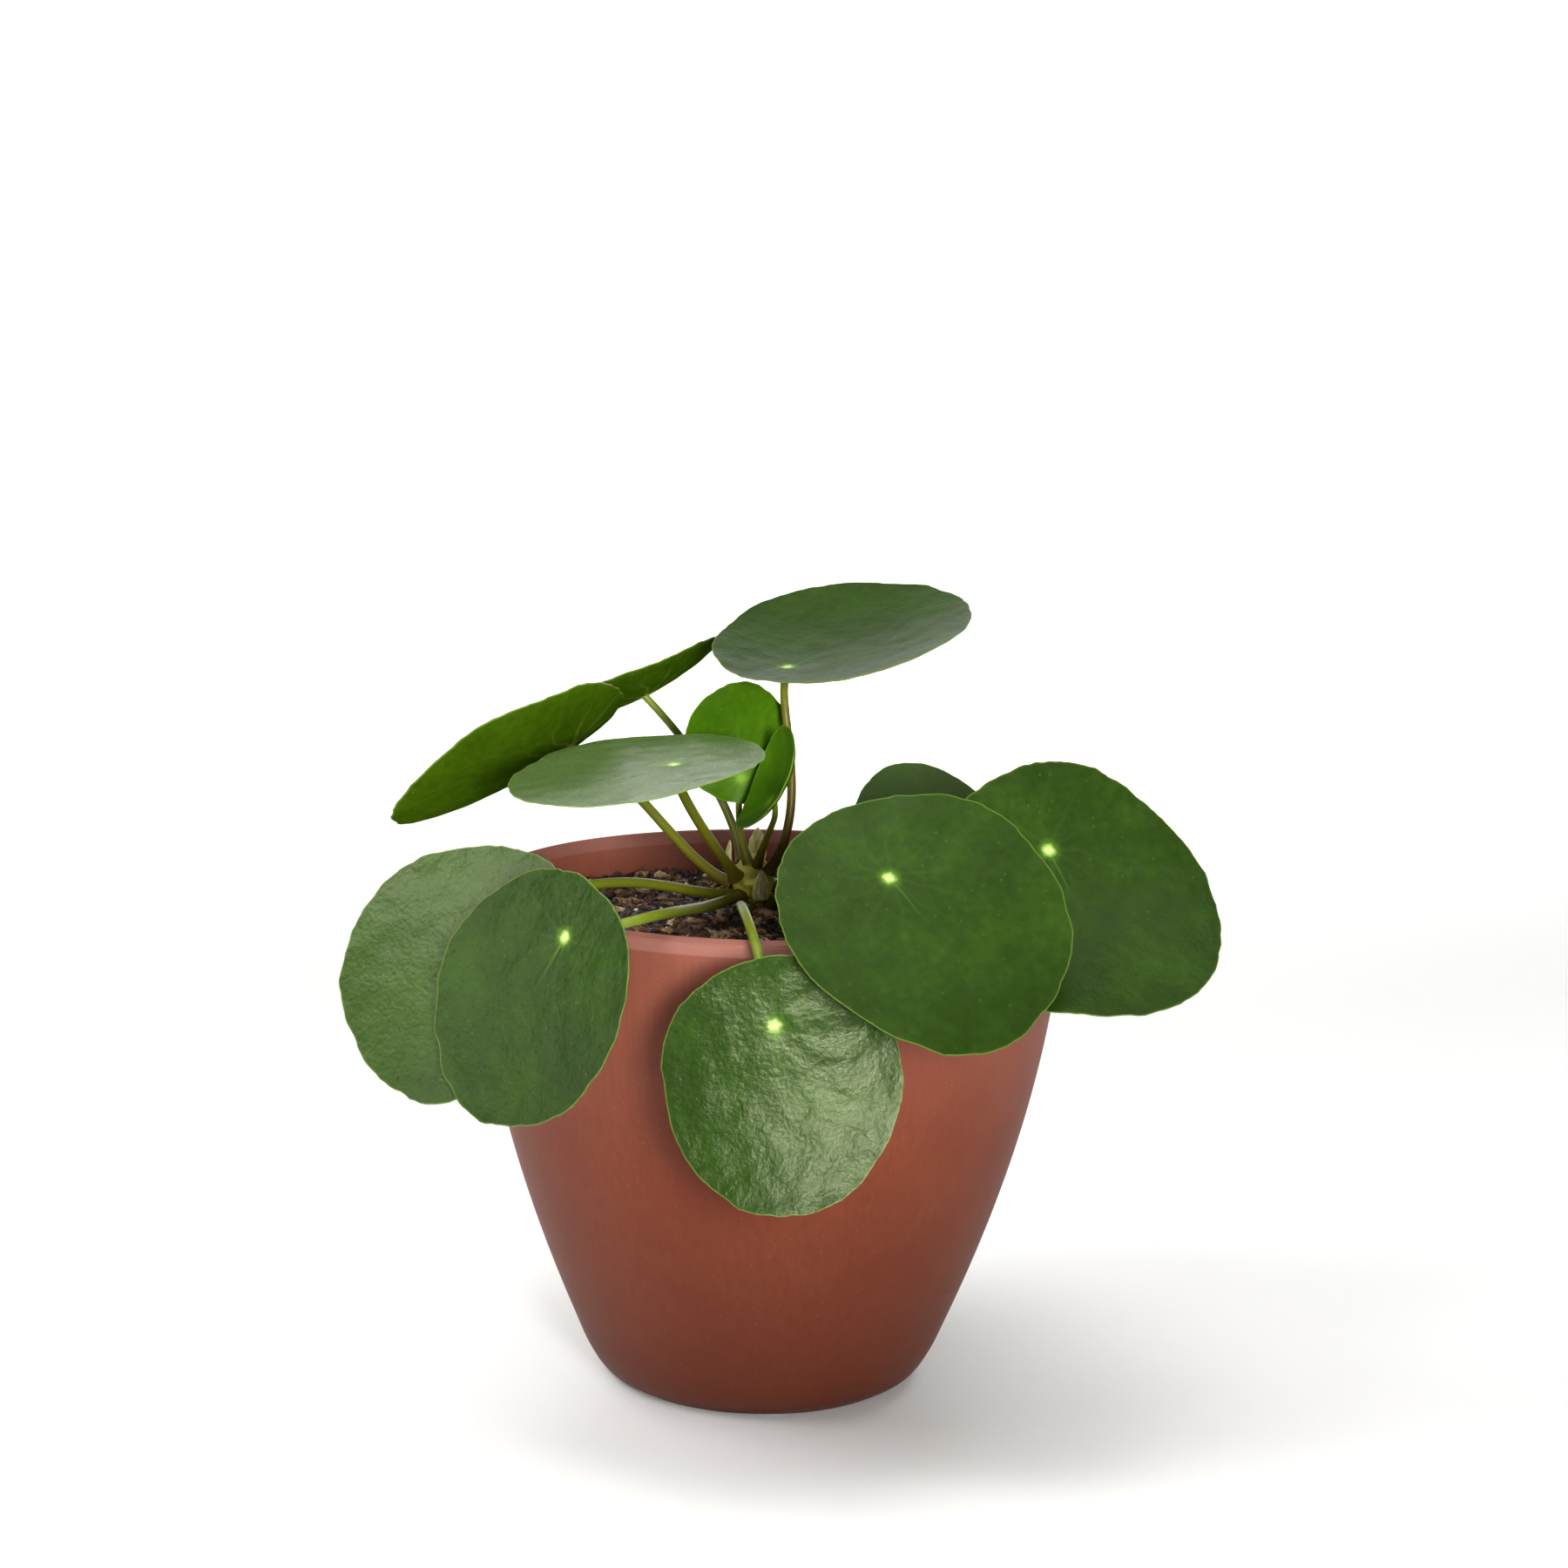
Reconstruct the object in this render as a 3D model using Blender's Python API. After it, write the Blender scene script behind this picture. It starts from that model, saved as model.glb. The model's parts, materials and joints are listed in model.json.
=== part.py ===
"""A potted Chinese money plant (Pilea peperomioides).

A thin-walled, terracotta-coloured moulded pot holds potting mix and one short woody stem.
Round leaves stand and hang around it, each on its own long stalk that joins the blade from below.
All sizes are in millimetres. The origin is the centre of the pot's underside, and +Z is up.
"""

import math
from typing import NamedTuple

import bmesh
import bpy
from mathutils import Vector

MM = 0.001  # one millimetre in scene units

# ---------------------------------------------------------------- the pot
POT_HEIGHT = 113.7  # to the outer edge of the lip
POT_WIDEST_RADIUS = 66.2  # just under the rim band
POT_FOOT_RADIUS = 35.5  # where the side would meet the ground without its rounding
POT_SIDE_FULLNESS = 1.75  # 1 is a straight cone, and more bellies the side out
POT_CORNER_WIDTH = 4.9  # rounding between the side and the underside
POT_CORNER_HEIGHT = 9.0
POT_WALL = 3.2
POT_FLOOR = 3.4
RIM_BAND_HEIGHT = 2.5  # the pale bevel under the lip
RIM_BAND_INSET = 1.2
LIP_WIDTH = 2.75
LIP_RISE = 0.85  # the lip's inner edge is this much higher than its outer edge
DRAIN_HOLES = 4
DRAIN_RADIUS = 3.5
DRAIN_CIRCLE_RADIUS = 17.0
POT_SEGMENTS = 64

# ---------------------------------------------------------------- the potting mix
MIX_BELOW_RIM = 8.7
MIX_HEAP = 1.2  # how much the mix is banked up around the stem
MIX_LUMP = 0.7  # height of its unevenness
MIX_SEGMENTS = 32
GAP = 0.3  # between each piece and the next

# ---------------------------------------------------------------- the stem
STEM_X = -3.5
STEM_Y = 6.0
STEM_BASE_RADIUS = 3.2
STEM_CROWN_RADIUS = 4.6
STEM_DEPTH = 14.0  # how far the stem goes down into the mix
STEM_HEIGHT = 14.5  # how far it stands out of it
STEM_SEGMENTS = 16

# ---------------------------------------------------------------- the leaves
BLADE_THICKNESS = 0.8
BLADE_SEGMENTS = 28
BLADE_RINGS = (0.36, 0.7, 1.0)
BLADE_WAVE = 0.012  # share of the radius by which a blade's edge waves in and out
STALK_SIDES = 8
STALK_STEPS = 11
STALK_TAPER = 0.78  # a stalk's radius at the blade, as a share of its radius at the stem


class Leaf(NamedTuple):
    """One leaf, its blade placed by the point where the stalk joins it.

    bearing and reach place that point around the pot, and rise is its height over the lip.
    faces and tilt turn the blade's upper side away from straight up, and spin turns it in its plane.
    offset is the distance from the stalk to the blade's middle, towards its tip.
    cup_across, cup_along and twist are the blade's curvature, as a rise at its edge per half length.
    stalk_bearing and stalk_height are where the stalk leaves the stem, and the two pulls bend it.
    """

    name: str
    bearing: float
    reach: float
    rise: float
    faces: float
    tilt: float
    spin: float
    width: float
    length: float
    offset: float
    cup_across: float
    cup_along: float
    twist: float
    stalk_bearing: float
    stalk_height: float
    stalk_radius: float
    stem_pull: tuple
    blade_pull: tuple
    green: str


def over_rim(distance):
    """A reach for a leaf that hangs outside the pot, so that it follows the rim's radius."""
    return POT_WIDEST_RADIUS + distance


MATURE = "2E5A20"
SHADED = "264C1E"
YOUNG = "4F8A12"

LEAVES = (
    Leaf("top", 41, 4.6, 49.3, -107, 9, 149, 57.5, 59, 16.5, 0.16, 0.12, 0.03,
         -44, 12.0, 1.15, (10, -4, 16), (-4, 12, -7), MATURE),
    Leaf("back_left", 129.5, 46.8, 37.3, 156, 31, 18, 47.5, 51.5, 5, 0.20, 0.20, 0.0,
         127, 12.6, 1.1, (-2, 11, 11), (9, -1, -9), MATURE),
    Leaf("left_high", 160, 49.2, 28.2, 156, 41, 44, 58, 58.5, 13, 0.24, 0.14, -0.03,
         186, 8.2, 1.3, (-12, 2, 5), (16, 0, -6), MATURE),
    Leaf("left_level", -127, 34.7, 32.0, -150, 9, -26, 55, 56, 8, 0.01, 0.0, 0.04,
         222, 10.7, 1.3, (-5.5, -7.5, 9), (0, 12, -7), MATURE),
    Leaf("young", 144, 8.5, 23.4, -72, 86, 183, 26.5, 27.5, 8, 0.0, 0.0, -0.25,
         245, 14.0, 0.9, (-2.5, 0.5, 6.5), (0.3, 3, -6.5), YOUNG),
    Leaf("folded_young", -90, 9.0, 20.9, -166, 53, 193, 20.5, 24.5, 3.5, 0.26, 0.34, 0.0,
         -75, 13.4, 0.8, (2, -4, 9), (1, 1.5, -4.5), YOUNG),
    Leaf("left_outer", 216.5, over_rim(5.4), 1.6, -118, 56, -21, 57, 58.5, 14.7, 0.08, -0.08, 0.02,
         197, 5.6, 1.3, (-12.5, -10, 1), (26, 12.5, 11), MATURE),
    Leaf("left_inner", 238, over_rim(13.4), 1.8, -134, 69, -18, 54.5, 55.5, 14.5, 0.03, -0.02, 0.06,
         231, 5.4, 1.35, (-14, -27, 0.5), (31, -3, 10), MATURE),
    Leaf("front", -88.6, over_rim(16.8), -12.7, -88, 86, 8, 49.5, 53.5, 12, -0.11, 0.09, 0.0,
         262, 2.8, 1.3, (-4, -36, 7.5), (-6.5, 12.5, 28.5), MATURE),
    Leaf("front_right", -69.4, over_rim(5.4), 15.7, -79, 43, 30, 62, 63.5, 11.7, 0.09, -0.11, 0.10,
         -32, 4.2, 1.4, (14, -17, 12), (-8.5, 24, 3), MATURE),
    Leaf("right_outer", -33.7, over_rim(6.0), 16.8, -75, 53, 16, 65, 65, 13.2, -0.09, 0.19, 0.13,
         0, 7.6, 1.4, (24, -5, 11), (-19, 20, 4), SHADED),
    Leaf("right_back", 34.5, 42.6, 13.3, -64, 39, 10, 40, 41.5, 7, -0.11, 0.07, 0.01,
         42, 6.0, 1.15, (11, 8, 8), (-4, 9, -12), SHADED),
)

# The papery scales that wrap the stem between the stalks: bearing, distance from the stem's
# middle, height over the mix, length and lean from level.
SCALES = (
    ("stem_scale_front", 290, 6.5, 8.4, 6.5, 84),
    ("stem_scale_left", 190, 6.3, 14.6, 5.5, 78),
    ("stem_scale_back", 80, 5.3, 16.0, 7.0, 84),
)


def linear(channel):
    """One sRGB channel, 0 to 1, as linear light."""
    return channel / 12.92 if channel <= 0.04045 else ((channel + 0.055) / 1.055) ** 2.4


def make_material(name, hex_colour, roughness, metallic=0.0):
    channels = [int(hex_colour[i : i + 2], 16) / 255 for i in (0, 2, 4)]
    colour = (*map(linear, channels), 1.0)
    material = bpy.data.materials.new(name)
    material.use_nodes = True
    material.diffuse_color = colour
    shader = material.node_tree.nodes["Principled BSDF"]
    shader.inputs["Base Color"].default_value = colour
    shader.inputs["Roughness"].default_value = roughness
    shader.inputs["Metallic"].default_value = metallic
    return material


def add_object(name, mesh_data, parent, material, smooth_angle=35.0):
    """Makes an object from a bmesh in millimetres, shaded smooth up to an angle."""
    bmesh.ops.recalc_face_normals(mesh_data, faces=mesh_data.faces)
    mesh = bpy.data.meshes.new(name)
    mesh_data.to_mesh(mesh)
    mesh_data.free()
    for vertex in mesh.vertices:
        vertex.co *= MM
    mesh.shade_smooth()
    mesh.set_sharp_from_angle(angle=math.radians(smooth_angle))
    mesh.materials.append(material)
    item = bpy.data.objects.new(name, mesh)
    item.parent = parent
    bpy.context.scene.collection.objects.link(item)
    return item


def loft(rings, close_start=True, close_end=True):
    """A bmesh tube through rings of equally many points, with its two ends filled."""
    shape = bmesh.new()
    loops = [[shape.verts.new(point) for point in ring] for ring in rings]
    count = len(loops[0])
    for near, far in zip(loops, loops[1:]):
        for i in range(count):
            j = (i + 1) % count
            shape.faces.new((near[i], near[j], far[j], far[i]))
    for wanted, loop in ((close_start, loops[0]), (close_end, loops[-1])):
        if wanted:
            middle = sum((vertex.co for vertex in loop), Vector()) / count
            hub = shape.verts.new(middle)
            for i in range(count):
                shape.faces.new((loop[i], loop[(i + 1) % count], hub))
    return shape


def circle(radius, z, count, x=0.0, y=0.0):
    return [
        Vector((
            x + radius * math.cos(2 * math.pi * i / count),
            y + radius * math.sin(2 * math.pi * i / count),
            z,
        ))
        for i in range(count)
    ]


def pot_outer_radius(z):
    """The radius of the pot's side at height z, up to the rim band."""
    top = POT_HEIGHT - RIM_BAND_HEIGHT
    share = min(z, top) / top
    widening = POT_WIDEST_RADIUS - POT_FOOT_RADIUS
    radius = POT_FOOT_RADIUS + widening * (1 - (1 - share) ** POT_SIDE_FULLNESS)
    if z < POT_CORNER_HEIGHT:
        below = 1 - z / POT_CORNER_HEIGHT
        radius -= POT_CORNER_WIDTH * (1 - math.sqrt(1 - below * below))
    return radius


def heights(low, high, count, crowding=1.0):
    """Heights from low to high, closer together near low where crowding is over 1."""
    return [low + (high - low) * (i / (count - 1)) ** crowding for i in range(count)]


def pot_inside():
    """The pot's inside from its floor up, as (radius, height). Its corner is rounded as outside."""
    lip_inside = POT_WIDEST_RADIUS - RIM_BAND_INSET - LIP_WIDTH
    points = []
    for z in heights(POT_FLOOR, POT_HEIGHT - 4.0, 8, 1.5):
        radius = pot_outer_radius(max(z - POT_FLOOR, 0.5)) - POT_WALL
        points.append((min(radius, lip_inside), z))
    return points


def pot_inside_radius(height):
    """The radius of the pot's inside at a height, between the rings that pot_inside gives."""
    rings = pot_inside()
    for (low_radius, low), (high_radius, high) in zip(rings, rings[1:]):
        if height <= high:
            return low_radius + (high_radius - low_radius) * (height - low) / (high - low)
    return rings[-1][0]


def build_pot(parent, material):
    band_bottom = POT_HEIGHT - RIM_BAND_HEIGHT
    lip_outer = POT_WIDEST_RADIUS - RIM_BAND_INSET
    lip_inner = lip_outer - LIP_WIDTH
    profile = [(pot_outer_radius(z), z) for z in heights(0.0, band_bottom, 12, 1.5)]
    profile.append((lip_outer + 0.15, POT_HEIGHT - 0.5))
    profile.append((lip_outer - 0.3, POT_HEIGHT))
    profile.append((lip_inner + 0.6, POT_HEIGHT + LIP_RISE))
    profile.append((lip_inner, POT_HEIGHT + LIP_RISE - 0.6))
    profile += list(reversed(pot_inside()))
    rings = [circle(radius, z, POT_SEGMENTS) for radius, z in profile]
    pot = add_object("pot", loft(rings), parent, material)
    for number in range(DRAIN_HOLES):
        angle = 2 * math.pi * (number + 0.5) / DRAIN_HOLES
        x = DRAIN_CIRCLE_RADIUS * math.cos(angle)
        y = DRAIN_CIRCLE_RADIUS * math.sin(angle)
        ends = (-2.0, POT_FLOOR + 2.0)
        drill = loft([circle(DRAIN_RADIUS, z, 16, x, y) for z in ends])
        cutter = add_object(f"drain_cutter_{number + 1}", drill, parent, material)
        cutter.hide_render = True
        cutter.display_type = "WIRE"
        cut = pot.modifiers.new(f"drain hole {number + 1}", "BOOLEAN")
        cut.operation = "DIFFERENCE"
        cut.solver = "EXACT"
        cut.object = cutter
    return pot


def mix_level():
    return POT_HEIGHT - MIX_BELOW_RIM


def mix_height(x, y):
    """Height of the potting mix at a point: level, a little heaped at the stem, and uneven."""
    away = math.hypot(x - STEM_X, y - STEM_Y)
    heap = MIX_HEAP * math.exp(-((away / 18) ** 2))
    lumps = math.sin(0.31 * x + 0.8) * math.cos(0.27 * y - 0.4) + 0.5 * math.sin(0.19 * (x + y))
    return mix_level() + heap + MIX_LUMP * lumps * min(1.0, away / 12)


def build_mix(parent, material):
    """The mix fills the pot, and has a socket in which the stem stands."""
    socket = STEM_BASE_RADIUS + GAP * 1.5
    socket_bottom = mix_level() - STEM_DEPTH
    rings = [circle(socket, socket_bottom, MIX_SEGMENTS, STEM_X, STEM_Y)]
    for share in (0.0, 0.12, 0.3, 0.55, 0.8, 1.0):
        ring = []
        outer = circle(pot_inside_radius(mix_level()) - GAP * 1.5, 0.0, MIX_SEGMENTS)
        for near, far in zip(circle(socket, 0.0, MIX_SEGMENTS, STEM_X, STEM_Y), outer):
            point = near.lerp(far, share)
            ring.append(Vector((point.x, point.y, mix_height(point.x, point.y))))
        rings.append(ring)
    low = POT_FLOOR + GAP
    levels = [low] + [z for _, z in pot_inside() if low + 1.0 < z < mix_level() - 3.0]
    for z in reversed(levels):
        rings.append(circle(pot_inside_radius(z) - GAP * 1.5, z, MIX_SEGMENTS))
    return add_object("potting_mix", loft(rings), parent, material, 60.0)


def stem_radius(height):
    """The stem's radius at a height over the mix: thin at the mix, widest at the crown, domed on top."""
    if height <= 0:
        return STEM_BASE_RADIUS
    share = height / STEM_HEIGHT
    swell = math.sin(math.pi * min(share / 0.5, 1.0) / 2) ** 2
    radius = STEM_BASE_RADIUS + (STEM_CROWN_RADIUS - STEM_BASE_RADIUS) * swell
    if share > 0.55:
        radius *= math.sqrt(max(0.02, 1 - ((share - 0.55) / 0.46) ** 2))
    return radius


def build_stem(parent, material):
    bottom = -STEM_DEPTH + GAP
    levels = [bottom] + heights(-1.0, STEM_HEIGHT, 10)
    rings = []
    for level in levels:
        radius = stem_radius(level)
        z = mix_level() + level
        rings.append(circle(radius, z, STEM_SEGMENTS, STEM_X, STEM_Y))
    return add_object("stem", loft(rings), parent, material, 60.0)


def blade_axes(faces, tilt, spin):
    """The blade's own sideways, tipward and upward directions."""
    faces = math.radians(faces)
    tilt = math.radians(tilt)
    spin = math.radians(spin)
    up = Vector((math.sin(tilt) * math.cos(faces), math.sin(tilt) * math.sin(faces), math.cos(tilt)))
    down = Vector((math.cos(tilt) * math.cos(faces), math.cos(tilt) * math.sin(faces), -math.sin(tilt)))
    tipward = math.cos(spin) * down + math.sin(spin) * up.cross(down)
    return tipward.cross(up), tipward, up


def joint_of(leaf):
    """Where the leaf's stalk joins its blade."""
    bearing = math.radians(leaf.bearing)
    z = POT_HEIGHT + leaf.rise
    return Vector((leaf.reach * math.cos(bearing), leaf.reach * math.sin(bearing), z))


def blade_solid(joint, axes, width, length, offset, curves, phase):
    """A thin, nearly round blade. Its upper side is curved, and its underside follows at one thickness."""
    side, tipward, up = axes
    across, along, twist = curves

    def level(u, v, drop):
        rise = (across * u * u + along * v * v + twist * u * v) / (length / 2)
        return joint + side * u + tipward * v + up * (rise - drop)

    def ring(share, drop):
        points = []
        for i in range(BLADE_SEGMENTS):
            angle = 2 * math.pi * i / BLADE_SEGMENTS
            wave = 1 + BLADE_WAVE * math.sin(3 * angle + phase) + BLADE_WAVE * math.sin(5 * angle - 2 * phase)
            u = width / 2 * share * wave * math.cos(angle)
            v = offset + length / 2 * share * wave * math.sin(angle)
            points.append(level(u, v, drop))
        return points

    rings = [ring(share, 0.0) for share in BLADE_RINGS]
    rings += [ring(share, BLADE_THICKNESS) for share in reversed(BLADE_RINGS)]
    solid = bmesh.new()
    loops = [[solid.verts.new(point) for point in points] for points in rings]
    for near, far in zip(loops, loops[1:]):
        for i in range(BLADE_SEGMENTS):
            j = (i + 1) % BLADE_SEGMENTS
            solid.faces.new((near[i], near[j], far[j], far[i]))
    for loop, drop in ((loops[0], 0.0), (loops[-1], BLADE_THICKNESS)):
        hub = solid.verts.new(level(0.0, offset, drop))
        for i in range(BLADE_SEGMENTS):
            solid.faces.new((loop[i], loop[(i + 1) % BLADE_SEGMENTS], hub))
    return solid


def bezier(points, share):
    """A point on the cubic curve with these four controls."""
    a, b, c, d = points
    rest = 1 - share
    return a * rest**3 + b * (3 * share * rest**2) + c * (3 * share**2 * rest) + d * share**3


def stalk_solid(controls, radius, end_up):
    """A tapering round stalk along a curve. Its last ring is flat against the blade's underside."""
    centres = [bezier(controls, i / STALK_STEPS) for i in range(STALK_STEPS + 1)]
    rings = []
    side = None
    for i, centre in enumerate(centres):
        ahead = centres[min(i + 1, STALK_STEPS)] - centres[max(i - 1, 0)]
        ahead.normalize()
        if side is None:
            side = ahead.orthogonal().normalized()
        side = (side - ahead * side.dot(ahead)).normalized()
        other = ahead.cross(side)
        share = i / STALK_STEPS
        wide = radius * (1 + (STALK_TAPER - 1) * share)
        ring = []
        for k in range(STALK_SIDES):
            angle = 2 * math.pi * k / STALK_SIDES
            ring.append(centre + wide * (math.cos(angle) * side + math.sin(angle) * other))
        rings.append(ring)
    middle = centres[-1]
    last = rings[-1]
    for k, point in enumerate(last):
        last[k] = point - end_up * (point - middle).dot(end_up)
    return loft(rings)


def build_leaf(leaf, number, parent, blade_material, stalk_material):
    axes = blade_axes(leaf.faces, leaf.tilt, leaf.spin)
    joint = joint_of(leaf)
    curves = (leaf.cup_across, leaf.cup_along, leaf.twist)
    blade = blade_solid(joint, axes, leaf.width, leaf.length, leaf.offset, curves, 1.3 * number)
    add_object(f"blade_{leaf.name}", blade, parent, blade_material)

    bearing = math.radians(leaf.stalk_bearing)
    outward = Vector((math.cos(bearing), math.sin(bearing), 0.0))
    pull = Vector(leaf.stem_pull)
    lean = leaf.stalk_radius * abs(pull.z) / pull.length
    away = stem_radius(leaf.stalk_height) + GAP + lean + 0.45
    base = Vector((STEM_X, STEM_Y, mix_level() + leaf.stalk_height)) + outward * away
    end = joint - axes[2] * (BLADE_THICKNESS + GAP * 1.4)
    controls = (base, base + pull, end + Vector(leaf.blade_pull), end)
    stalk = stalk_solid(controls, leaf.stalk_radius, axes[2])
    add_object(f"stalk_{leaf.name}", stalk, parent, stalk_material)


def build_scale(name, bearing, distance, height, size, lean, parent, material):
    """A small, cupped papery scale that stands against the stem."""
    angle = math.radians(bearing)
    joint = Vector((
        STEM_X + distance * math.cos(angle),
        STEM_Y + distance * math.sin(angle),
        mix_level() + height,
    ))
    axes = blade_axes(bearing, lean, 180)
    solid = blade_solid(joint, axes, size * 0.7, size, 0.0, (-0.45, -0.2, 0.0), 0.0)
    add_object(name, solid, parent, material)


def main():
    for item in list(bpy.data.objects):
        bpy.data.objects.remove(item, do_unlink=True)
    plant = bpy.data.objects.new("potted_plant", None)
    bpy.context.scene.collection.objects.link(plant)

    build_pot(plant, make_material("terracotta_coloured_pot", "9A4C3C", 0.62))
    build_mix(plant, make_material("potting_mix", "35261C", 0.95))
    build_stem(plant, make_material("woody_stem", "5A5A24", 0.7))
    stalk_material = make_material("leaf_stalk", "717D26", 0.5)
    for number, leaf in enumerate(LEAVES):
        blade_material = make_material(f"leaf_{leaf.name}", leaf.green, 0.42)
        build_leaf(leaf, number, plant, blade_material, stalk_material)
    papery = make_material("papery_scale", "B9A586", 0.8)
    for name, bearing, distance, height, size, lean in SCALES:
        build_scale(name, bearing, distance, height, size, lean, plant, papery)


main()
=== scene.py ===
"""Looks for a potted Chinese money plant, laid out as a Blender add-on and run as a script.

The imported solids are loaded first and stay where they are. Each operator then makes one group of
finished pieces in the places those solids hold: the moulded pot, the potting mix, the woody stem
with its papery scales, the leaf stalks, the round leaf blades and the photo studio round them.
"""

import functools  # noqa: E402
import json  # noqa: E402
import math  # noqa: E402

import bmesh  # noqa: E402
import bpy  # noqa: E402
import numpy as np  # noqa: E402
from mathutils import Matrix, Vector, noise  # noqa: E402

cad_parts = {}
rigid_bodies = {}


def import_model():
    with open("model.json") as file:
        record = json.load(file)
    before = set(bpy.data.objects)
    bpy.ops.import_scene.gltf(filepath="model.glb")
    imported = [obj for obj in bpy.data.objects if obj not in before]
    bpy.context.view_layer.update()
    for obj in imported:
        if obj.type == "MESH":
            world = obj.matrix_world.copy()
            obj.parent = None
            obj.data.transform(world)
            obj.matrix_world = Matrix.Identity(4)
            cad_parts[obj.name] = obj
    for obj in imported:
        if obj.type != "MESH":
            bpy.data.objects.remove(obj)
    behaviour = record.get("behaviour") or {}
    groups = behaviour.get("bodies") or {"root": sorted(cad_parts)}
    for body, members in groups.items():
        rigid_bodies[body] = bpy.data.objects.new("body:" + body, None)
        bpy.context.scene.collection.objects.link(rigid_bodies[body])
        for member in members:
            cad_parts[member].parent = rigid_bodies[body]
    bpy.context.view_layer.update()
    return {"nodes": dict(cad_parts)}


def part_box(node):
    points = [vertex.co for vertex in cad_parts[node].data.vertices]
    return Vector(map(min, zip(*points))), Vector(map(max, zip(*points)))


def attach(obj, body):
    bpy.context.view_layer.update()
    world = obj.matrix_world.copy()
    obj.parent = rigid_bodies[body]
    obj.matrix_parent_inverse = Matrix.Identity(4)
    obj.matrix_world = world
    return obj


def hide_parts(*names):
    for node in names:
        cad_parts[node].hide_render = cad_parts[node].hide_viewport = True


bl_info = {
    "name": "Potted Chinese money plant",
    "version": (1, 0, 0),
    "blender": (4, 5, 0),
    "location": "View3D > Sidebar > Plant",
    "description": "Finishes the pot, mix, stem, stalks and leaves of a Chinese money plant",
    "category": "Object",
}

for startup_object in list(bpy.data.objects):
    bpy.data.objects.remove(startup_object, do_unlink=True)
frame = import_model()
LEAVES = [name[len("blade_"):] for name in sorted(frame["nodes"]) if name.startswith("blade_")]
SCALES = [name for name in sorted(frame["nodes"]) if name.startswith("stem_scale_")]
# The young leaves, those in the plant's own shade, and those with a duller, satin skin.
YOUNG = ("young", "folded_young")
SHADED = ("right_outer", "right_back")
SATIN = ("front_right", "top", *SHADED)
# A stalk's tip is trimmed this near its joint, to this far under its blade's upper face.
TIP_REACH = 0.006
TIP_DEPTH = 0.00042


# ---------------------------------------------------------------- small tools


def linear(hex_colour):
    """An sRGB hex colour as linear red, green, blue and full alpha."""
    channels = []
    for start in (0, 2, 4):
        value = int(hex_colour[start : start + 2], 16) / 255
        channels.append(value / 12.92 if value <= 0.04045 else ((value + 0.055) / 1.055) ** 2.4)
    return (*channels, 1.0)


def fill(item, inputs):
    """Sets a node's inputs, by name or number, to values, hex colours, sockets or feeding nodes."""
    for key, value in inputs.items():
        socket = item.inputs[key]
        if isinstance(value, bpy.types.Node):
            value = next(output for output in value.outputs if output.enabled)
        if isinstance(value, bpy.types.NodeSocket):
            item.id_data.links.new(value, socket)
        elif socket.type == "RGBA" and isinstance(value, str):
            socket.default_value = linear(value)
        else:
            socket.default_value = value


def add_node(tree, kind, inputs=None, stops=(), **settings):
    """Adds one node with its settings and inputs. stops are a colour ramp's (position, hex) pairs."""
    item = tree.nodes.new(kind)
    for name, value in settings.items():
        setattr(item, name, value)
    fill(item, inputs or {})
    if stops:
        elements = item.color_ramp.elements
        while len(elements) < len(stops):
            elements.new(0.5)
        for element, (position, colour) in zip(elements, stops):
            element.position = position
            element.color = linear(colour)
    return item


def new_material(name):
    """A material, the function that adds nodes to its tree, and its empty Principled shader."""
    material = bpy.data.materials.new(name)
    material.use_nodes = True
    tree = material.node_tree
    return material, functools.partial(add_node, tree), tree.nodes["Principled BSDF"]


def new_tree(name, sockets):
    """A Geometry Nodes tree, the function that adds its nodes, and its inputs, a mesh and a material too."""
    tree = bpy.data.node_groups.new(name, "GeometryNodeTree")
    for label, kind in {"Geometry": "Geometry", **sockets, "Material": "Material"}.items():
        tree.interface.new_socket(label, in_out="INPUT", socket_type=f"NodeSocket{kind}")
    tree.interface.new_socket("Geometry", in_out="OUTPUT", socket_type="NodeSocketGeometry")
    add = functools.partial(add_node, tree)
    return tree, add, add("NodeGroupInput").outputs


def close_tree(add, geometry, material):
    """Ends a Geometry Nodes tree: its instances become one mesh in the given material."""
    real = add("GeometryNodeRealizeInstances", {0: geometry})
    painted = add("GeometryNodeSetMaterial", {"Geometry": real, "Material": material})
    add("NodeGroupOutput", {0: painted})


def linked(name, data):
    """A new object of the scene that shows the given data."""
    item = bpy.data.objects.new(name, data)
    bpy.context.scene.collection.objects.link(item)
    return item


def new_mesh(name, points, faces, edges=()):
    """A mesh from its points and its faces or edges."""
    mesh = bpy.data.meshes.new(name)
    mesh.from_pydata([tuple(point) for point in points], list(edges), faces)
    return mesh


def weld(mesh, distance):
    """Merges a mesh's doubled points and turns its faces outwards."""
    shape = bmesh.new()
    shape.from_mesh(mesh)
    bmesh.ops.remove_doubles(shape, verts=shape.verts, dist=distance)
    bmesh.ops.recalc_face_normals(shape, faces=shape.faces)
    shape.to_mesh(mesh)
    shape.free()


def round_pairs(count):
    """Each number below count with the one after it, going round."""
    return [(j, (j + 1) % count) for j in range(count)]


def finish_piece(name, mesh, materials, node_names, smooth=True):
    """Links a finished mesh as a piece that rides on the plant's one body and stands for its CAD nodes."""
    mesh.name = name
    slots = np.zeros(len(mesh.polygons), np.int32)
    mesh.polygons.foreach_get("material_index", slots)
    # Clearing the list sets every face back to the first material, so the faces' numbers are kept.
    mesh.materials.clear()
    for material in materials:
        mesh.materials.append(material)
    mesh.polygons.foreach_set("material_index", slots)
    if smooth:
        mesh.shade_smooth()
    piece = linked(name, mesh)
    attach(piece, "root")
    if node_names:
        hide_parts(*node_names)
    return piece


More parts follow.
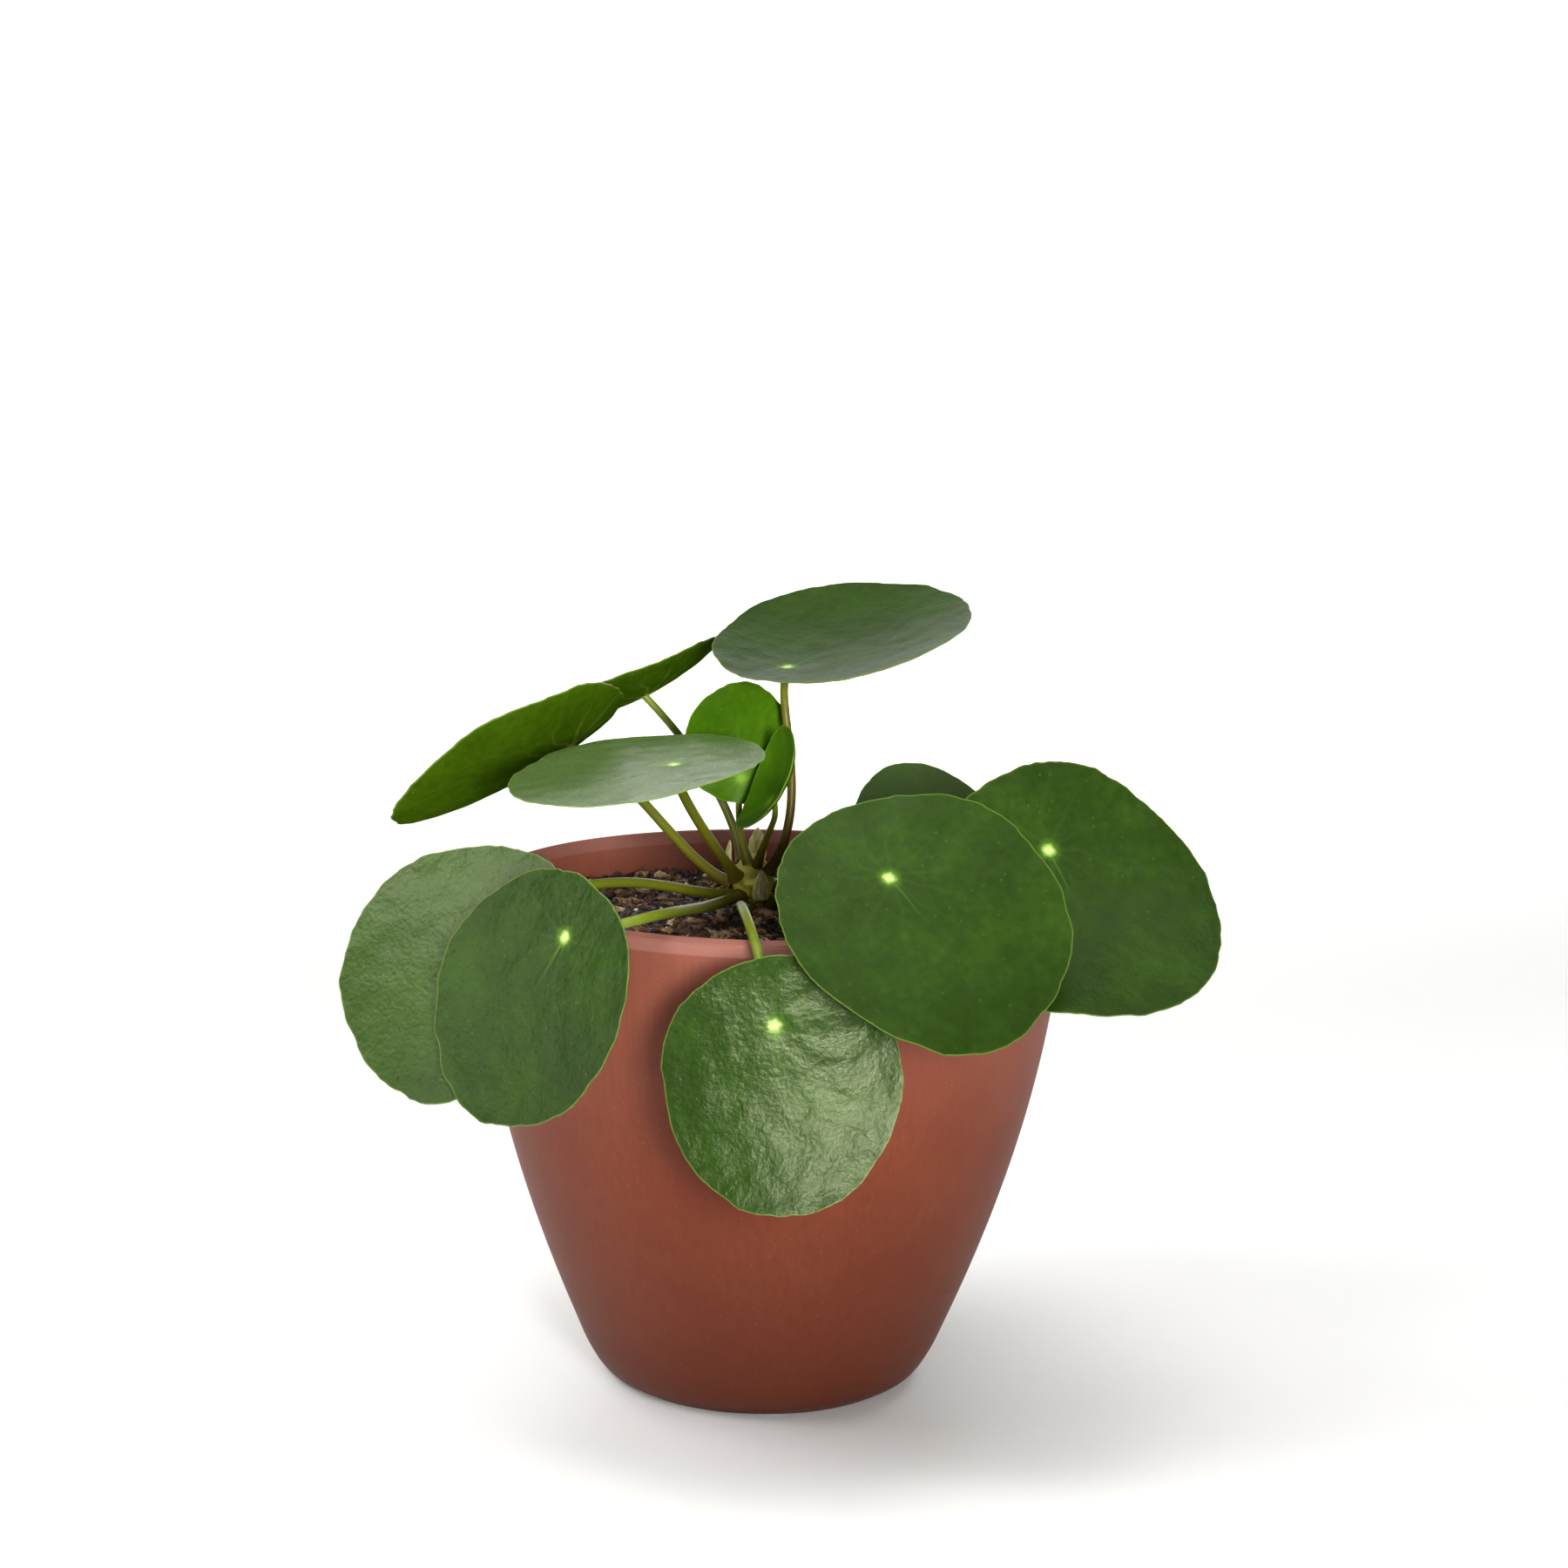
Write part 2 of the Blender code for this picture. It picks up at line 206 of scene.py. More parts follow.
def merged(node_name):
    """A CAD node's shape with its doubled points merged."""
    shape = bmesh.new()
    shape.from_mesh(frame["nodes"][node_name].data)
    bmesh.ops.remove_doubles(shape, verts=shape.verts, dist=1e-6)
    shape.normal_update()
    return shape


def set_attribute(mesh, name, values):
    """Stores one number for each point of a mesh."""
    layer = mesh.attributes.new(name, "FLOAT", "POINT")
    layer.data.foreach_set("value", np.asarray(values, np.float32))


def set_uv(mesh, name, per_point):
    """Stores a UV map from one pair of numbers for each point of a mesh."""
    layer = mesh.uv_layers.new(name=name)
    corners = np.empty(len(mesh.loops), np.int32)
    mesh.loops.foreach_get("vertex_index", corners)
    layer.data.foreach_set("uv", np.asarray(per_point, np.float32)[corners].ravel())


def applied(source, name):
    """The mesh that an object's modifiers make, as plain data. The object itself is removed."""
    bpy.context.view_layer.update()
    graph = bpy.context.evaluated_depsgraph_get()
    mesh = bpy.data.meshes.new_from_object(source.evaluated_get(graph), depsgraph=graph)
    mesh.name = name
    bpy.data.objects.remove(source, do_unlink=True)
    return mesh


def set_inputs(modifier, tree, values):
    """Sets a Geometry Nodes modifier's inputs, looked up by name, through their identifiers."""
    modifier.node_group = tree
    for item in tree.interface.items_tree:
        if item.item_type == "SOCKET" and item.in_out == "INPUT" and item.name in values:
            modifier[item.identifier] = values[item.name]


def lathe_rings(profile, segments):
    """Points of a turned shape, ring by ring, and the faces between its rings."""
    turn = np.linspace(0, 2 * math.pi, segments, endpoint=False)
    points = []
    for radius, z in profile:
        points += [(radius * math.cos(a), radius * math.sin(a), z) for a in turn]
    faces = []
    for i in range(len(profile) - 1):
        row = i * segments
        for j, k in round_pairs(segments):
            faces.append((row + j, row + k, row + segments + k, row + segments + j))
    return points, faces


def smooth_line(points, steps):
    """A Catmull-Rom line through the points, with so many steps between each two."""
    points = [Vector(p) for p in points]
    ends = [2 * points[0] - points[1]] + points + [2 * points[-1] - points[-2]]
    line = []
    for a, b, c, d in zip(ends, ends[1:], ends[2:], ends[3:]):
        for step in range(steps):
            t = step / steps
            bend = (2 * a - 5 * b + 4 * c - d) * t**2
            twist = (3 * b - a - 3 * c + d) * t**3
            line.append(0.5 * (2 * b + (c - a) * t + bend + twist))
    line.append(points[-1])
    return line


# ---------------------------------------------------------------- settings


def declared(kind, name, description, default, **limits):
    """A setting of the given kind of bpy.props, as a user sees it."""
    make = getattr(bpy.props, f"{kind}Property")
    return make(name=name, description=description, default=default, **limits)


LENGTH = {"unit": "LENGTH", "precision": 5}
size_property = functools.partial(declared, "Float", **LENGTH)
angle_property = functools.partial(declared, "Float", subtype="ANGLE")
amount_property = functools.partial(declared, "Float", min=0.0)
count_property = functools.partial(declared, "Int")
hex_property = functools.partial(declared, "String", maxlen=6)


class PotSettings(bpy.types.PropertyGroup):
    """Sizes and colours of the moulded pot."""

    segments: count_property("Segments", "Points round the pot", 192, min=32, max=512)
    groove: size_property("Lip groove", "Depth of the fine step under the lip", 0.00022)
    drain_radius: size_property("Drain radius", "Radius of each drain hole", 0.0035)
    drain_circle: size_property("Drain circle", "Distance of each drain hole from the middle", 0.017)
    drain_holes: count_property("Drain holes", "Number of drain holes", 4, min=0, max=12)
    body: hex_property("Body", "Moulded colour of the pot", "702E16")
    worn: hex_property("Streaks", "Paler colour of the fine upright streaks", "7B391F")
    # The rim colour also makes the painted highlight on the bevel and the painted light over the upper wall.
    rim: hex_property("Rim", "Chalky colour of the rim's bevel", "8E6258")


class MixSettings(bpy.types.PropertyGroup):
    """Sizes and colours of the potting mix."""

    lump: size_property("Lump height", "Height of the mix's unevenness", 0.0011)
    crumb_size: size_property("Crumb size", "Largest crumb of peat", 0.0032)
    bark_size: size_property("Bark size", "Largest chip of bark", 0.0055)
    perlite_size: size_property("Perlite size", "Largest grain of perlite", 0.0021)
    seed: count_property("Seed", "Layout of the loose pieces", 7)


class StalkSettings(bpy.types.PropertyGroup):
    """Sizes of the leaf stalks."""

    sides: count_property("Sides", "Points round a stalk", 16, min=6)
    step: size_property("Step", "Distance between two rings of a stalk", 0.0009)
    flare: amount_property("Flare", "How much wider a stalk is where it leaves the stem", 0.65, max=1.0)


class LeafSettings(bpy.types.PropertyGroup):
    """Sizes and colours of the leaf blades."""

    around: count_property("Around", "Points round a blade", 180, min=24)
    outward: count_property("Outward", "Rings of a blade", 36, min=6)
    thickness: size_property("Thickness", "Thickness of a blade inside its edge", 0.0006)
    edge_thickness: size_property("Edge thickness", "Thickness at a blade's edge", 0.00028)
    pucker: size_property("Pucker", "Height of the soft leathery puckers", 0.00016)
    ripple: size_property("Ripple", "Height of the slow waves at the edge", 0.0007)
    veins: count_property("Veins", "Main veins from the dot", 11, min=3)


class StageSettings(bpy.types.PropertyGroup):
    """The camera, the lights and the floor."""

    lens: declared("Float", "Lens", "Focal length in mm on a 36 mm wide sensor", 93.86, min=10.0)
    distance: size_property("Distance", "Distance of the camera in front of the pot's axis", 0.900)
    height: size_property("Height", "Height of the camera over the floor", 0.2968)
    aside: size_property("Aside", "Distance of the camera to the right of the pot's axis", 0.0030)
    pitch: angle_property("Pitch", "Angle the camera looks down", math.radians(10.083))
    roll: angle_property("Roll", "Turn of the camera about its view", math.radians(1.137))
    floor: hex_property("Floor", "Colour of the floor and backdrop", "F4F4F2")
    ambient: amount_property("Ambient", "Light from all round", 0.07)
    top_power: amount_property("Top", "Watts of the light overhead", 8.0)
    key_power: amount_property("Key", "Watts of the light in front", 0.9)
    left_power: amount_property("Left", "Watts of the high left-hand light", 8.0)
    sheen_power: amount_property("Sheen", "Watts of the low left-hand light", 1.7)
    front_power: amount_property("Front", "Watts of the gridded front light", 0.85)
    front_spread: angle_property("Front grid", "Width of the front light's beam", math.radians(38))
    wash_power: amount_property("Floor wash", "Watts of each light on the floor beside the plant", 2.0)
    backdrop_power: amount_property("Backdrop light", "Watts of the light on the backdrop", 20.0)


# ---------------------------------------------------------------- materials


def pot_material(settings, top):
    """Matte moulded plastic with plant fibre in it: faint streaks and fine specks, a chalky rim bevel with a
    painted highlight, painted light over the upper wall and painted shade over the lower wall.
    """
    material, add, shader = new_material("moulded_fibre_plastic")
    place = add("ShaderNodeTexCoord").outputs["Object"]
    # Streaks 1 to 2 mm wide and some 60 mm tall, left by the mould.
    stretched = add("ShaderNodeMapping", {0: place, "Scale": (900, 900, 16)})
    streaks = add("ShaderNodeTexNoise", {"Vector": stretched, "Scale": 1.0, "Detail": 5.0})
    # Fibre clouds some 25 mm across.
    clouds = add("ShaderNodeTexNoise", {"Vector": place, "Scale": 40.0, "Detail": 4.0})
    both = add("ShaderNodeMath", {0: streaks, 1: clouds}, operation="MULTIPLY")
    tone = add("ShaderNodeMapRange", {0: both, "From Min": 0.14, "From Max": 0.42})
    skin = add("ShaderNodeMix", {"Factor": tone, "A": settings.body, "B": settings.worn}, data_type="RGBA")
    # Specks 0.3 mm wide, a few millimetres apart.
    specks = add("ShaderNodeTexVoronoi", {"Vector": place, "Scale": 420.0})
    speck = add(
        "ShaderNodeMapRange", {0: specks, "From Min": 0.04, "From Max": 0.12, "To Min": 0.2, "To Max": 0.0}
    )
    specked = add("ShaderNodeMix", {"Factor": speck, "A": skin, "B": "B58272"}, data_type="RGBA")
    # The rim's bevel, in the top 3 mm of the pot, is paler: partly a chalkier colour, partly a painted
    # highlight where it catches the light from above.
    z = add("ShaderNodeSeparateXYZ", {0: place}).outputs[2]
    bevel = add(
        "ShaderNodeMapRange",
        {0: z, "From Min": top - 0.00345, "From Max": top - 0.0030, "To Max": 0.62},
        interpolation_type="SMOOTHSTEP",
    )
    # Painted light: the upper half of the wall grows paler towards the top, where more light falls.
    painted_top_light = add("ShaderNodeMapRange", {0: z, "From Min": top * 0.55, "From Max": top, "To Max": 0.3})
    chalk_and_painted_light = add("ShaderNodeMath", {0: bevel, 1: painted_top_light}, operation="MAXIMUM")
    rimmed = add("ShaderNodeMix", {"Factor": chalk_and_painted_light, "A": specked, "B": settings.rim}, data_type="RGBA")
    # Painted shade: the colour is darkened to half at the foot and lifted a little near the top, because less
    # light falls on the lower wall.
    depth = add(
        "ShaderNodeMapRange",
        {0: z, "From Min": 0.0, "From Max": top * 0.85, "To Min": 0.5, "To Max": 1.04},
    )
    shade_darkened_low = add("ShaderNodeVectorMath", {0: rimmed, "Scale": depth}, operation="SCALE")
    rough = add("ShaderNodeMapRange", {0: streaks, "To Min": 0.5, "To Max": 0.68})
    # The mould's streaks stand some 0.05 mm proud.
    bump = add("ShaderNodeBump", {"Strength": 0.35, "Distance": 0.00012, "Height": streaks})
    fill(shader, {"Base Color": shade_darkened_low, "Roughness": rough, "Normal": bump, "Specular IOR Level": 0.25})
    return material


def mix_material(name, stops, roughness, grain):
    """Loose organic matter: each piece has its own tone, over a grain of the given size in metres."""
    material, add, shader = new_material(name)
    place = add("ShaderNodeTexCoord").outputs["Object"]
    tone = add("ShaderNodeAttribute", attribute_name="tone").outputs["Fac"]
    mottle = add("ShaderNodeTexNoise", {"Vector": place, "Scale": 1 / grain, "Detail": 4.0})
    share = add("ShaderNodeMix", {"Factor": 0.35, "A": tone, "B": mottle}, data_type="FLOAT")
    colour = add("ShaderNodeValToRGB", {0: share}, stops=stops)
    bump = add("ShaderNodeBump", {"Strength": 0.6, "Distance": grain * 0.3, "Height": mottle})
    fill(shader, {"Base Color": colour, "Normal": bump, "Roughness": roughness})
    return material


def stem_material():
    """A living woody stem: green-brown bark at the crown, dark brown and corky near the mix."""
    material, add, shader = new_material("green_brown_bark")
    place = add("ShaderNodeTexCoord").outputs["Object"]
    z = add("ShaderNodeSeparateXYZ", {0: place}).outputs[2]
    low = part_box("stem")[1].z - 0.0145
    # Blotches 2 mm across shift the change from cork to green bark up and down.
    blotch = add("ShaderNodeTexNoise", {"Vector": place, "Scale": 500.0, "Detail": 5.0})
    shifted = add("ShaderNodeMath", {0: blotch, 1: 0.006, 2: z}, operation="MULTIPLY_ADD")
    height = add("ShaderNodeMapRange", {0: shifted, "From Min": low + 0.002, "From Max": low + 0.015})
    tones = [(0.0, "2E1A0E"), (0.12, "5A381C"), (0.22, "A09422"), (0.6, "C2BC38"), (1.0, "D2CE5C")]
    colour = add("ShaderNodeValToRGB", {0: height}, stops=tones)
    bump = add("ShaderNodeBump", {"Strength": 0.8, "Distance": 0.0004, "Height": blotch})
    fill(shader, {"Base Color": colour, "Normal": bump, "Roughness": 0.55})
    return material


def scale_material():
    """Dry papery bud scales, pale straw with browned streaks along their fibres."""
    material, add, shader = new_material("dry_bud_scale")
    place = add("ShaderNodeTexCoord").outputs["Object"]
    stretched = add("ShaderNodeMapping", {0: place, "Scale": (2200, 2200, 400)})
    fibre = add("ShaderNodeTexNoise", {"Vector": stretched, "Scale": 1.0, "Detail": 4.0})
    tones = [(0.25, "A8A05A"), (0.5, "CCC684"), (0.72, "EFE9C4")]
    colour = add("ShaderNodeValToRGB", {0: fibre}, stops=tones)
    bump = add("ShaderNodeBump", {"Strength": 0.5, "Distance": 0.0002, "Height": fibre})
    fill(shader, {"Base Color": colour, "Normal": bump, "Roughness": 0.45})
    return material


def stalk_material():
    """A living leaf stalk: a smooth, satin skin, olive green, browner towards the stem, with fine fibres."""
    material, add, shader = new_material("leaf_stalk_skin")
    place = add("ShaderNodeTexCoord").outputs["Object"]
    along = add("ShaderNodeAttribute", attribute_name="along").outputs["Fac"]
    brown = add("ShaderNodeAttribute", attribute_name="browning").outputs["Fac"]
    # Fibres and blotches some 2 mm long.
    blotch = add("ShaderNodeTexNoise", {"Vector": place, "Scale": 450.0, "Detail": 5.0})
    fine = add("ShaderNodeTexNoise", {"Vector": place, "Scale": 2600.0, "Detail": 2.0})
    height = add("ShaderNodeMath", {0: blotch, 1: 0.3, 2: along}, operation="MULTIPLY_ADD")
    greens = [(0.1, "5E5410"), (0.4, "626612"), (0.9, "5F6C14"), (1.2, "6C7E24")]
    green = add("ShaderNodeValToRGB", {0: height}, stops=greens)
    olive = add("ShaderNodeValToRGB", {0: fine}, stops=[(0.3, "4E340A"), (0.7, "66500E")])
    mixed = add("ShaderNodeMix", {"Factor": brown, "A": green, "B": olive}, data_type="RGBA")
    bump = add("ShaderNodeBump", {"Strength": 0.25, "Distance": 0.00012, "Height": blotch})
    fill(shader, {"Base Color": mixed, "Normal": bump, "Roughness": 0.38, "Specular IOR Level": 0.25})
    return material


def leaf_material(name, tones, edge, halo, dot, vein, veins, roughness, relief=1.0, shine=0.28, veining=0.1):
    """A leathery, hairless leaf skin with a pale dot over the stalk, faint veins from it and fine puckers.

    tones run from dark to light, and veins is the number of main veins. The blade's own map gives each
    place from its dot, with 1 for 100 mm, and the textures work in millimetres.
    """
    material, add, shader = new_material(name)
    flat = add("ShaderNodeUVMap", uv_map="from_dot")
    mm = add("ShaderNodeVectorMath", {0: flat, "Scale": 100.0}, operation="SCALE")
    seed = add("ShaderNodeAttribute", attribute_name="leaf_seed").outputs["Fac"]
    rim = add("ShaderNodeAttribute", attribute_name="rim_mm").outputs["Fac"]
    crinkle = add("ShaderNodeAttribute", attribute_name="crinkle").outputs["Fac"]
    lift = add("ShaderNodeCombineXYZ", {2: seed})
    spot = add("ShaderNodeVectorMath", {0: mm, 1: lift}, operation="ADD")
    ragged = add("ShaderNodeTexNoise", {"Vector": spot, "Scale": 0.9, "Detail": 3.0}).outputs["Color"]
    shifted = add("ShaderNodeVectorMath", {0: ragged, 1: (-0.5, -0.5, -0.5)}, operation="ADD")
    torn = add("ShaderNodeVectorMath", {0: shifted, 1: (1.3, 1.3, 0.0), 2: mm}, operation="MULTIPLY_ADD")
    away = add("ShaderNodeVectorMath", {0: torn}, operation="LENGTH")
    across, onward, _ = add("ShaderNodeSeparateXYZ", {0: mm}).outputs

    # Broad tone changes, some 14 mm across, with finer mottling 2 mm across.
    broad = add("ShaderNodeTexNoise", {"Vector": spot, "Scale": 0.07, "Detail": 3.0})
    mottle = add("ShaderNodeTexNoise", {"Vector": spot, "Scale": 0.5, "Detail": 6.0})
    tone = add("ShaderNodeMix", {"Factor": 0.45, "A": broad, "B": mottle}, data_type="FLOAT")
    skin = add("ShaderNodeValToRGB", {0: tone}, stops=tones)
    # Painted sheen: some blades are mixed towards a pale grey-green that stands in for the light shining off
    # them.
    painted_sheen = add("ShaderNodeAttribute", attribute_name="painted_sheen").outputs["Fac"]
    skin = add("ShaderNodeMix", {"Factor": painted_sheen, "A": skin, "B": "86A062"}, data_type="RGBA")

    # Main veins leave the dot at even angles and wander a little.
    wander = add("ShaderNodeTexNoise", {"Vector": spot, "Scale": 0.05, "Detail": 2.0})
    bearing = add("ShaderNodeMath", {0: across, 1: onward}, operation="ARCTAN2")
    bent = add("ShaderNodeMath", {0: wander, 1: 1.3, 2: bearing}, operation="MULTIPLY_ADD")
    count = add("ShaderNodeMath", {0: bent, 1: veins / (2 * math.pi)}, operation="MULTIPLY")
    nearest = add("ShaderNodeMath", {0: count, 1: 0.5}, operation="PINGPONG")
    spacing = add("ShaderNodeMath", {0: nearest, 1: away}, operation="MULTIPLY")
    gap = add("ShaderNodeMath", {0: spacing, 1: 2 * math.pi / veins}, operation="MULTIPLY")
    line = add(
        "ShaderNodeMapRange",
        {0: gap, "From Min": 0.05, "From Max": 0.8, "To Min": 1.0, "To Max": 0.0},
        interpolation_type="SMOOTHSTEP",
    )
    fade = add(
        "ShaderNodeMapRange", {0: away, "From Min": 2.0, "From Max": 20.0, "To Min": 1.0, "To Max": 0.1}
    )
    lines = add("ShaderNodeMath", {0: line, 1: fade}, operation="MULTIPLY")
    vein_share = add("ShaderNodeMath", {0: lines, 1: veining}, operation="MULTIPLY")
    # The midrib shows as a paler line, 0.5 mm wide, for some 10 mm from the dot towards the tip.
    aside = add("ShaderNodeMath", {0: across}, operation="ABSOLUTE")
    rib = add(
        "ShaderNodeMapRange", {0: aside, "From Min": 0.08, "From Max": 0.42, "To Min": 1.0, "To Max": 0.0}
    )
    reach = add(
        "ShaderNodeMapRange", {0: onward, "From Min": 3.0, "From Max": 13.0, "To Min": 0.6, "To Max": 0.0}
    )
    forward = add("ShaderNodeMath", {0: onward, 1: 0.0}, operation="GREATER_THAN")
    near_tip = add("ShaderNodeMath", {0: reach, 1: forward}, operation="MULTIPLY")
    pale = add(
        "ShaderNodeMath", {0: rib, 1: near_tip, 2: vein_share}, operation="MULTIPLY_ADD", use_clamp=True
    )
    skin = add("ShaderNodeMix", {"Factor": pale, "A": skin, "B": vein}, data_type="RGBA")

    # Pores 0.3 mm wide lie some 3 mm apart, the edge is a line 0.3 mm wide, and the dot has a soft halo.
    # Each is palest at its middle and fades out between two distances in millimetres.
    cells = add("ShaderNodeTexVoronoi", {"Vector": spot, "Scale": 0.33})
    layers = (
        (cells, 0.04, 0.11, 0.5, vein, "LINEAR"),
        (rim, 0.04, 0.34, 0.5, edge, "LINEAR"),
        (away, 0.8, 3.4, 0.8, halo, "SMOOTHERSTEP"),
        (away, 0.3, 1.9, 1.0, dot, "SMOOTHSTEP"),
    )
    for distance, near, far, palest, colour, fading in layers:
        span = {0: distance, "From Min": near, "From Max": far, "To Min": palest, "To Max": 0.0}
        share = add("ShaderNodeMapRange", span, interpolation_type=fading)
        skin = add("ShaderNodeMix", {"Factor": share, "A": skin, "B": colour}, data_type="RGBA")

    # Leathery puckers 1.5 mm across, over a finer grain.
    puckers = add("ShaderNodeTexVoronoi", {"Vector": spot, "Scale": 0.62}, feature="SMOOTH_F1")
    creases = add("ShaderNodeTexNoise", {"Vector": spot, "Scale": 1.1, "Detail": 4.0, "Roughness": 0.6})
    height = add("ShaderNodeMix", {"Factor": 0.6, "A": puckers, "B": creases}, data_type="FLOAT")
    amount = add("ShaderNodeMath", {0: crinkle, 1: 1.1, 2: 0.45}, operation="MULTIPLY_ADD")
    scaled = add("ShaderNodeMath", {0: height, 1: amount}, operation="MULTIPLY")
    sunk = add("ShaderNodeMath", {0: lines, 1: -0.08, 2: scaled}, operation="MULTIPLY_ADD")
    bump = add("ShaderNodeBump", {"Strength": relief, "Distance": 0.00025, "Height": sunk})
    rough = add("ShaderNodeMapRange", {0: mottle, "To Min": roughness - 0.06, "To Max": roughness + 0.1})
    # The wax over green tissue gives the sheen a green cast.
    fill(shader, {"Base Color": skin, "Normal": bump, "Roughness": rough})
    fill(shader, {"Specular IOR Level": shine, "Specular Tint": "ECF6C6"})
    return material


# ---------------------------------------------------------------- operators


class PLANT_OT_pot(bpy.types.Operator):
    """Makes the pot as one turned, moulded wall with its lip, rim bevel and drain holes"""

    bl_idname = "plant.pot"
    bl_label = "Make the pot"

    def profile(self, settings):
        """The wall's section, from the middle of the underside, up the outside and down the inside."""
        shape = merged("pot")
        rings = {}
        for vertex in shape.verts:
            key = (round(math.hypot(vertex.co.x, vertex.co.y), 5), round(vertex.co.z, 5))
            rings[key] = rings.get(key, 0) + 1
        shape.free()
        full = sorted((z, r) for (r, z), count in rings.items() if count >= 48)
        top = full[-1][0]
        widest = max(r for _, r in full)
        outside = []
        inside = []
        for z, r in full:
            # Both walls widen upwards, so an outside ring is wider than every ring under it.
            group = outside if r > max([0.0] + [other for other, _ in outside]) else inside
            if z < top - 0.0030:
                group.append((r, z))
        line = [(p.x, p.y) for p in smooth_line([(r, z, 0) for r, z in outside], 6)]
        lip = top - 0.00085
        rim = [
            (widest - 0.00005, lip - 0.0023),
            (widest - 0.00035, lip - 0.0017),
            (widest - 0.00095, lip - 0.0006),
            (widest - 0.00115, lip - 0.00025),
            (widest - 0.00120 - settings.groove, lip - 0.00012),
            (widest - 0.00125 - settings.groove, lip + 0.00002),
            (widest - 0.00150, lip + 0.00012),
            (widest - 0.0026, lip + 0.00048),
            (widest - 0.0034, lip + 0.00078),
            (widest - 0.0038, lip + 0.00080),
            (widest - 0.00402, lip + 0.00055),
            (widest - 0.00404, lip - 0.0004),
        ]
        inner_line = [(p.x, p.y) for p in smooth_line([(r, z, 0) for r, z in reversed(inside)], 4)]
        return line + rim + inner_line

    def execute(self, context):
        settings = context.scene.plant_pot
        profile = self.profile(settings)
        points, faces = lathe_rings(profile, settings.segments)
        count = settings.segments
        last = len(points) - count
        points.append((0.0, 0.0, profile[0][1]))
        points.append((0.0, 0.0, profile[-1][1]))
        for j, k in round_pairs(count):
            faces.append((k, j, len(points) - 2))
            faces.append((last + j, last + k, len(points) - 1))
        pot = linked("pot_wall_uncut", new_mesh("pot_wall", points, faces))
        drills = []
        for number in range(settings.drain_holes):
            angle = 2 * math.pi * (number + 0.5) / settings.drain_holes
            place = (settings.drain_circle * math.cos(angle), settings.drain_circle * math.sin(angle), 0)
            bpy.ops.mesh.primitive_cylinder_add(
                vertices=40, radius=settings.drain_radius, depth=0.02, location=place
            )
            drills.append(context.object)
            cut = pot.modifiers.new(f"drain {number + 1}", "BOOLEAN")
            cut.object = drills[-1]
            cut.operation = "DIFFERENCE"
            cut.solver = "EXACT"
        finished = applied(pot, "pot_wall")
        for drill in drills:
            bpy.data.objects.remove(drill, do_unlink=True)
        material = pot_material(settings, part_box("pot")[1].z)
        piece = finish_piece("pot_wall", finished, [material], ["pot"])
        piece.data.set_sharp_from_angle(angle=math.radians(32))
        return {"FINISHED"}


def scatter_tree():
    """Geometry Nodes that lay loose pieces on a surface, each with its own turn, size and tone."""
    floats = ("Pieces per square metre", "Smallest", "Largest", "Flatness")
    sockets = {"Shape": "Object", **{name: "Float" for name in floats}, "Seed": "Int"}
    tree, add, given = new_tree("loose_pieces", sockets)
    density = given["Pieces per square metre"]
    seed = given["Seed"]
    up = add("GeometryNodeInputNormal")
    height = add("ShaderNodeSeparateXYZ", {0: up}).outputs[2]
    facing = add("FunctionNodeCompare", {0: height, 1: 0.4}, operation="GREATER_THAN")
    bed = {"Mesh": given["Geometry"], "Selection": facing, "Density": density, "Seed": seed}
    spread = add("GeometryNodeDistributePointsOnFaces", bed)
    turns = {"Min": (-0.7, -0.7, 0.0), "Max": (0.7, 0.7, 6.283), "Seed": seed}
    turn = add("FunctionNodeRandomValue", turns, data_type="FLOAT_VECTOR")
    sizes = {2: given["Smallest"], 3: given["Largest"], "Seed": seed}
    size = add("FunctionNodeRandomValue", sizes, data_type="FLOAT")
    skews = {"Min": (0.55, 0.45, 0.5), "Max": (1.0, 0.9, 0.9), "Seed": seed}
    skew = add("FunctionNodeRandomValue", skews, data_type="FLOAT_VECTOR")
    flat = add("ShaderNodeCombineXYZ", {0: 1.0, 1: 1.0, 2: given["Flatness"]})
    shape = add("ShaderNodeVectorMath", {0: skew, 1: flat}, operation="MULTIPLY")
    scale = add("ShaderNodeVectorMath", {0: shape, "Scale": size}, operation="SCALE")
    chosen = add("GeometryNodeObjectInfo", {"Object": given["Shape"]}).outputs["Geometry"]
    places = {"Points": spread, "Instance": chosen, "Rotation": turn, "Scale": scale}
    placed = add("GeometryNodeInstanceOnPoints", places)
    tone = add("FunctionNodeRandomValue", {2: 0.0, 3: 1.0, "Seed": seed}, data_type="FLOAT")
    mark = {"Geometry": placed, "Name": "tone", "Value": tone}
    toned = add("GeometryNodeStoreNamedAttribute", mark, data_type="FLOAT", domain="INSTANCE")
    close_tree(add, toned, given["Material"])
    return tree


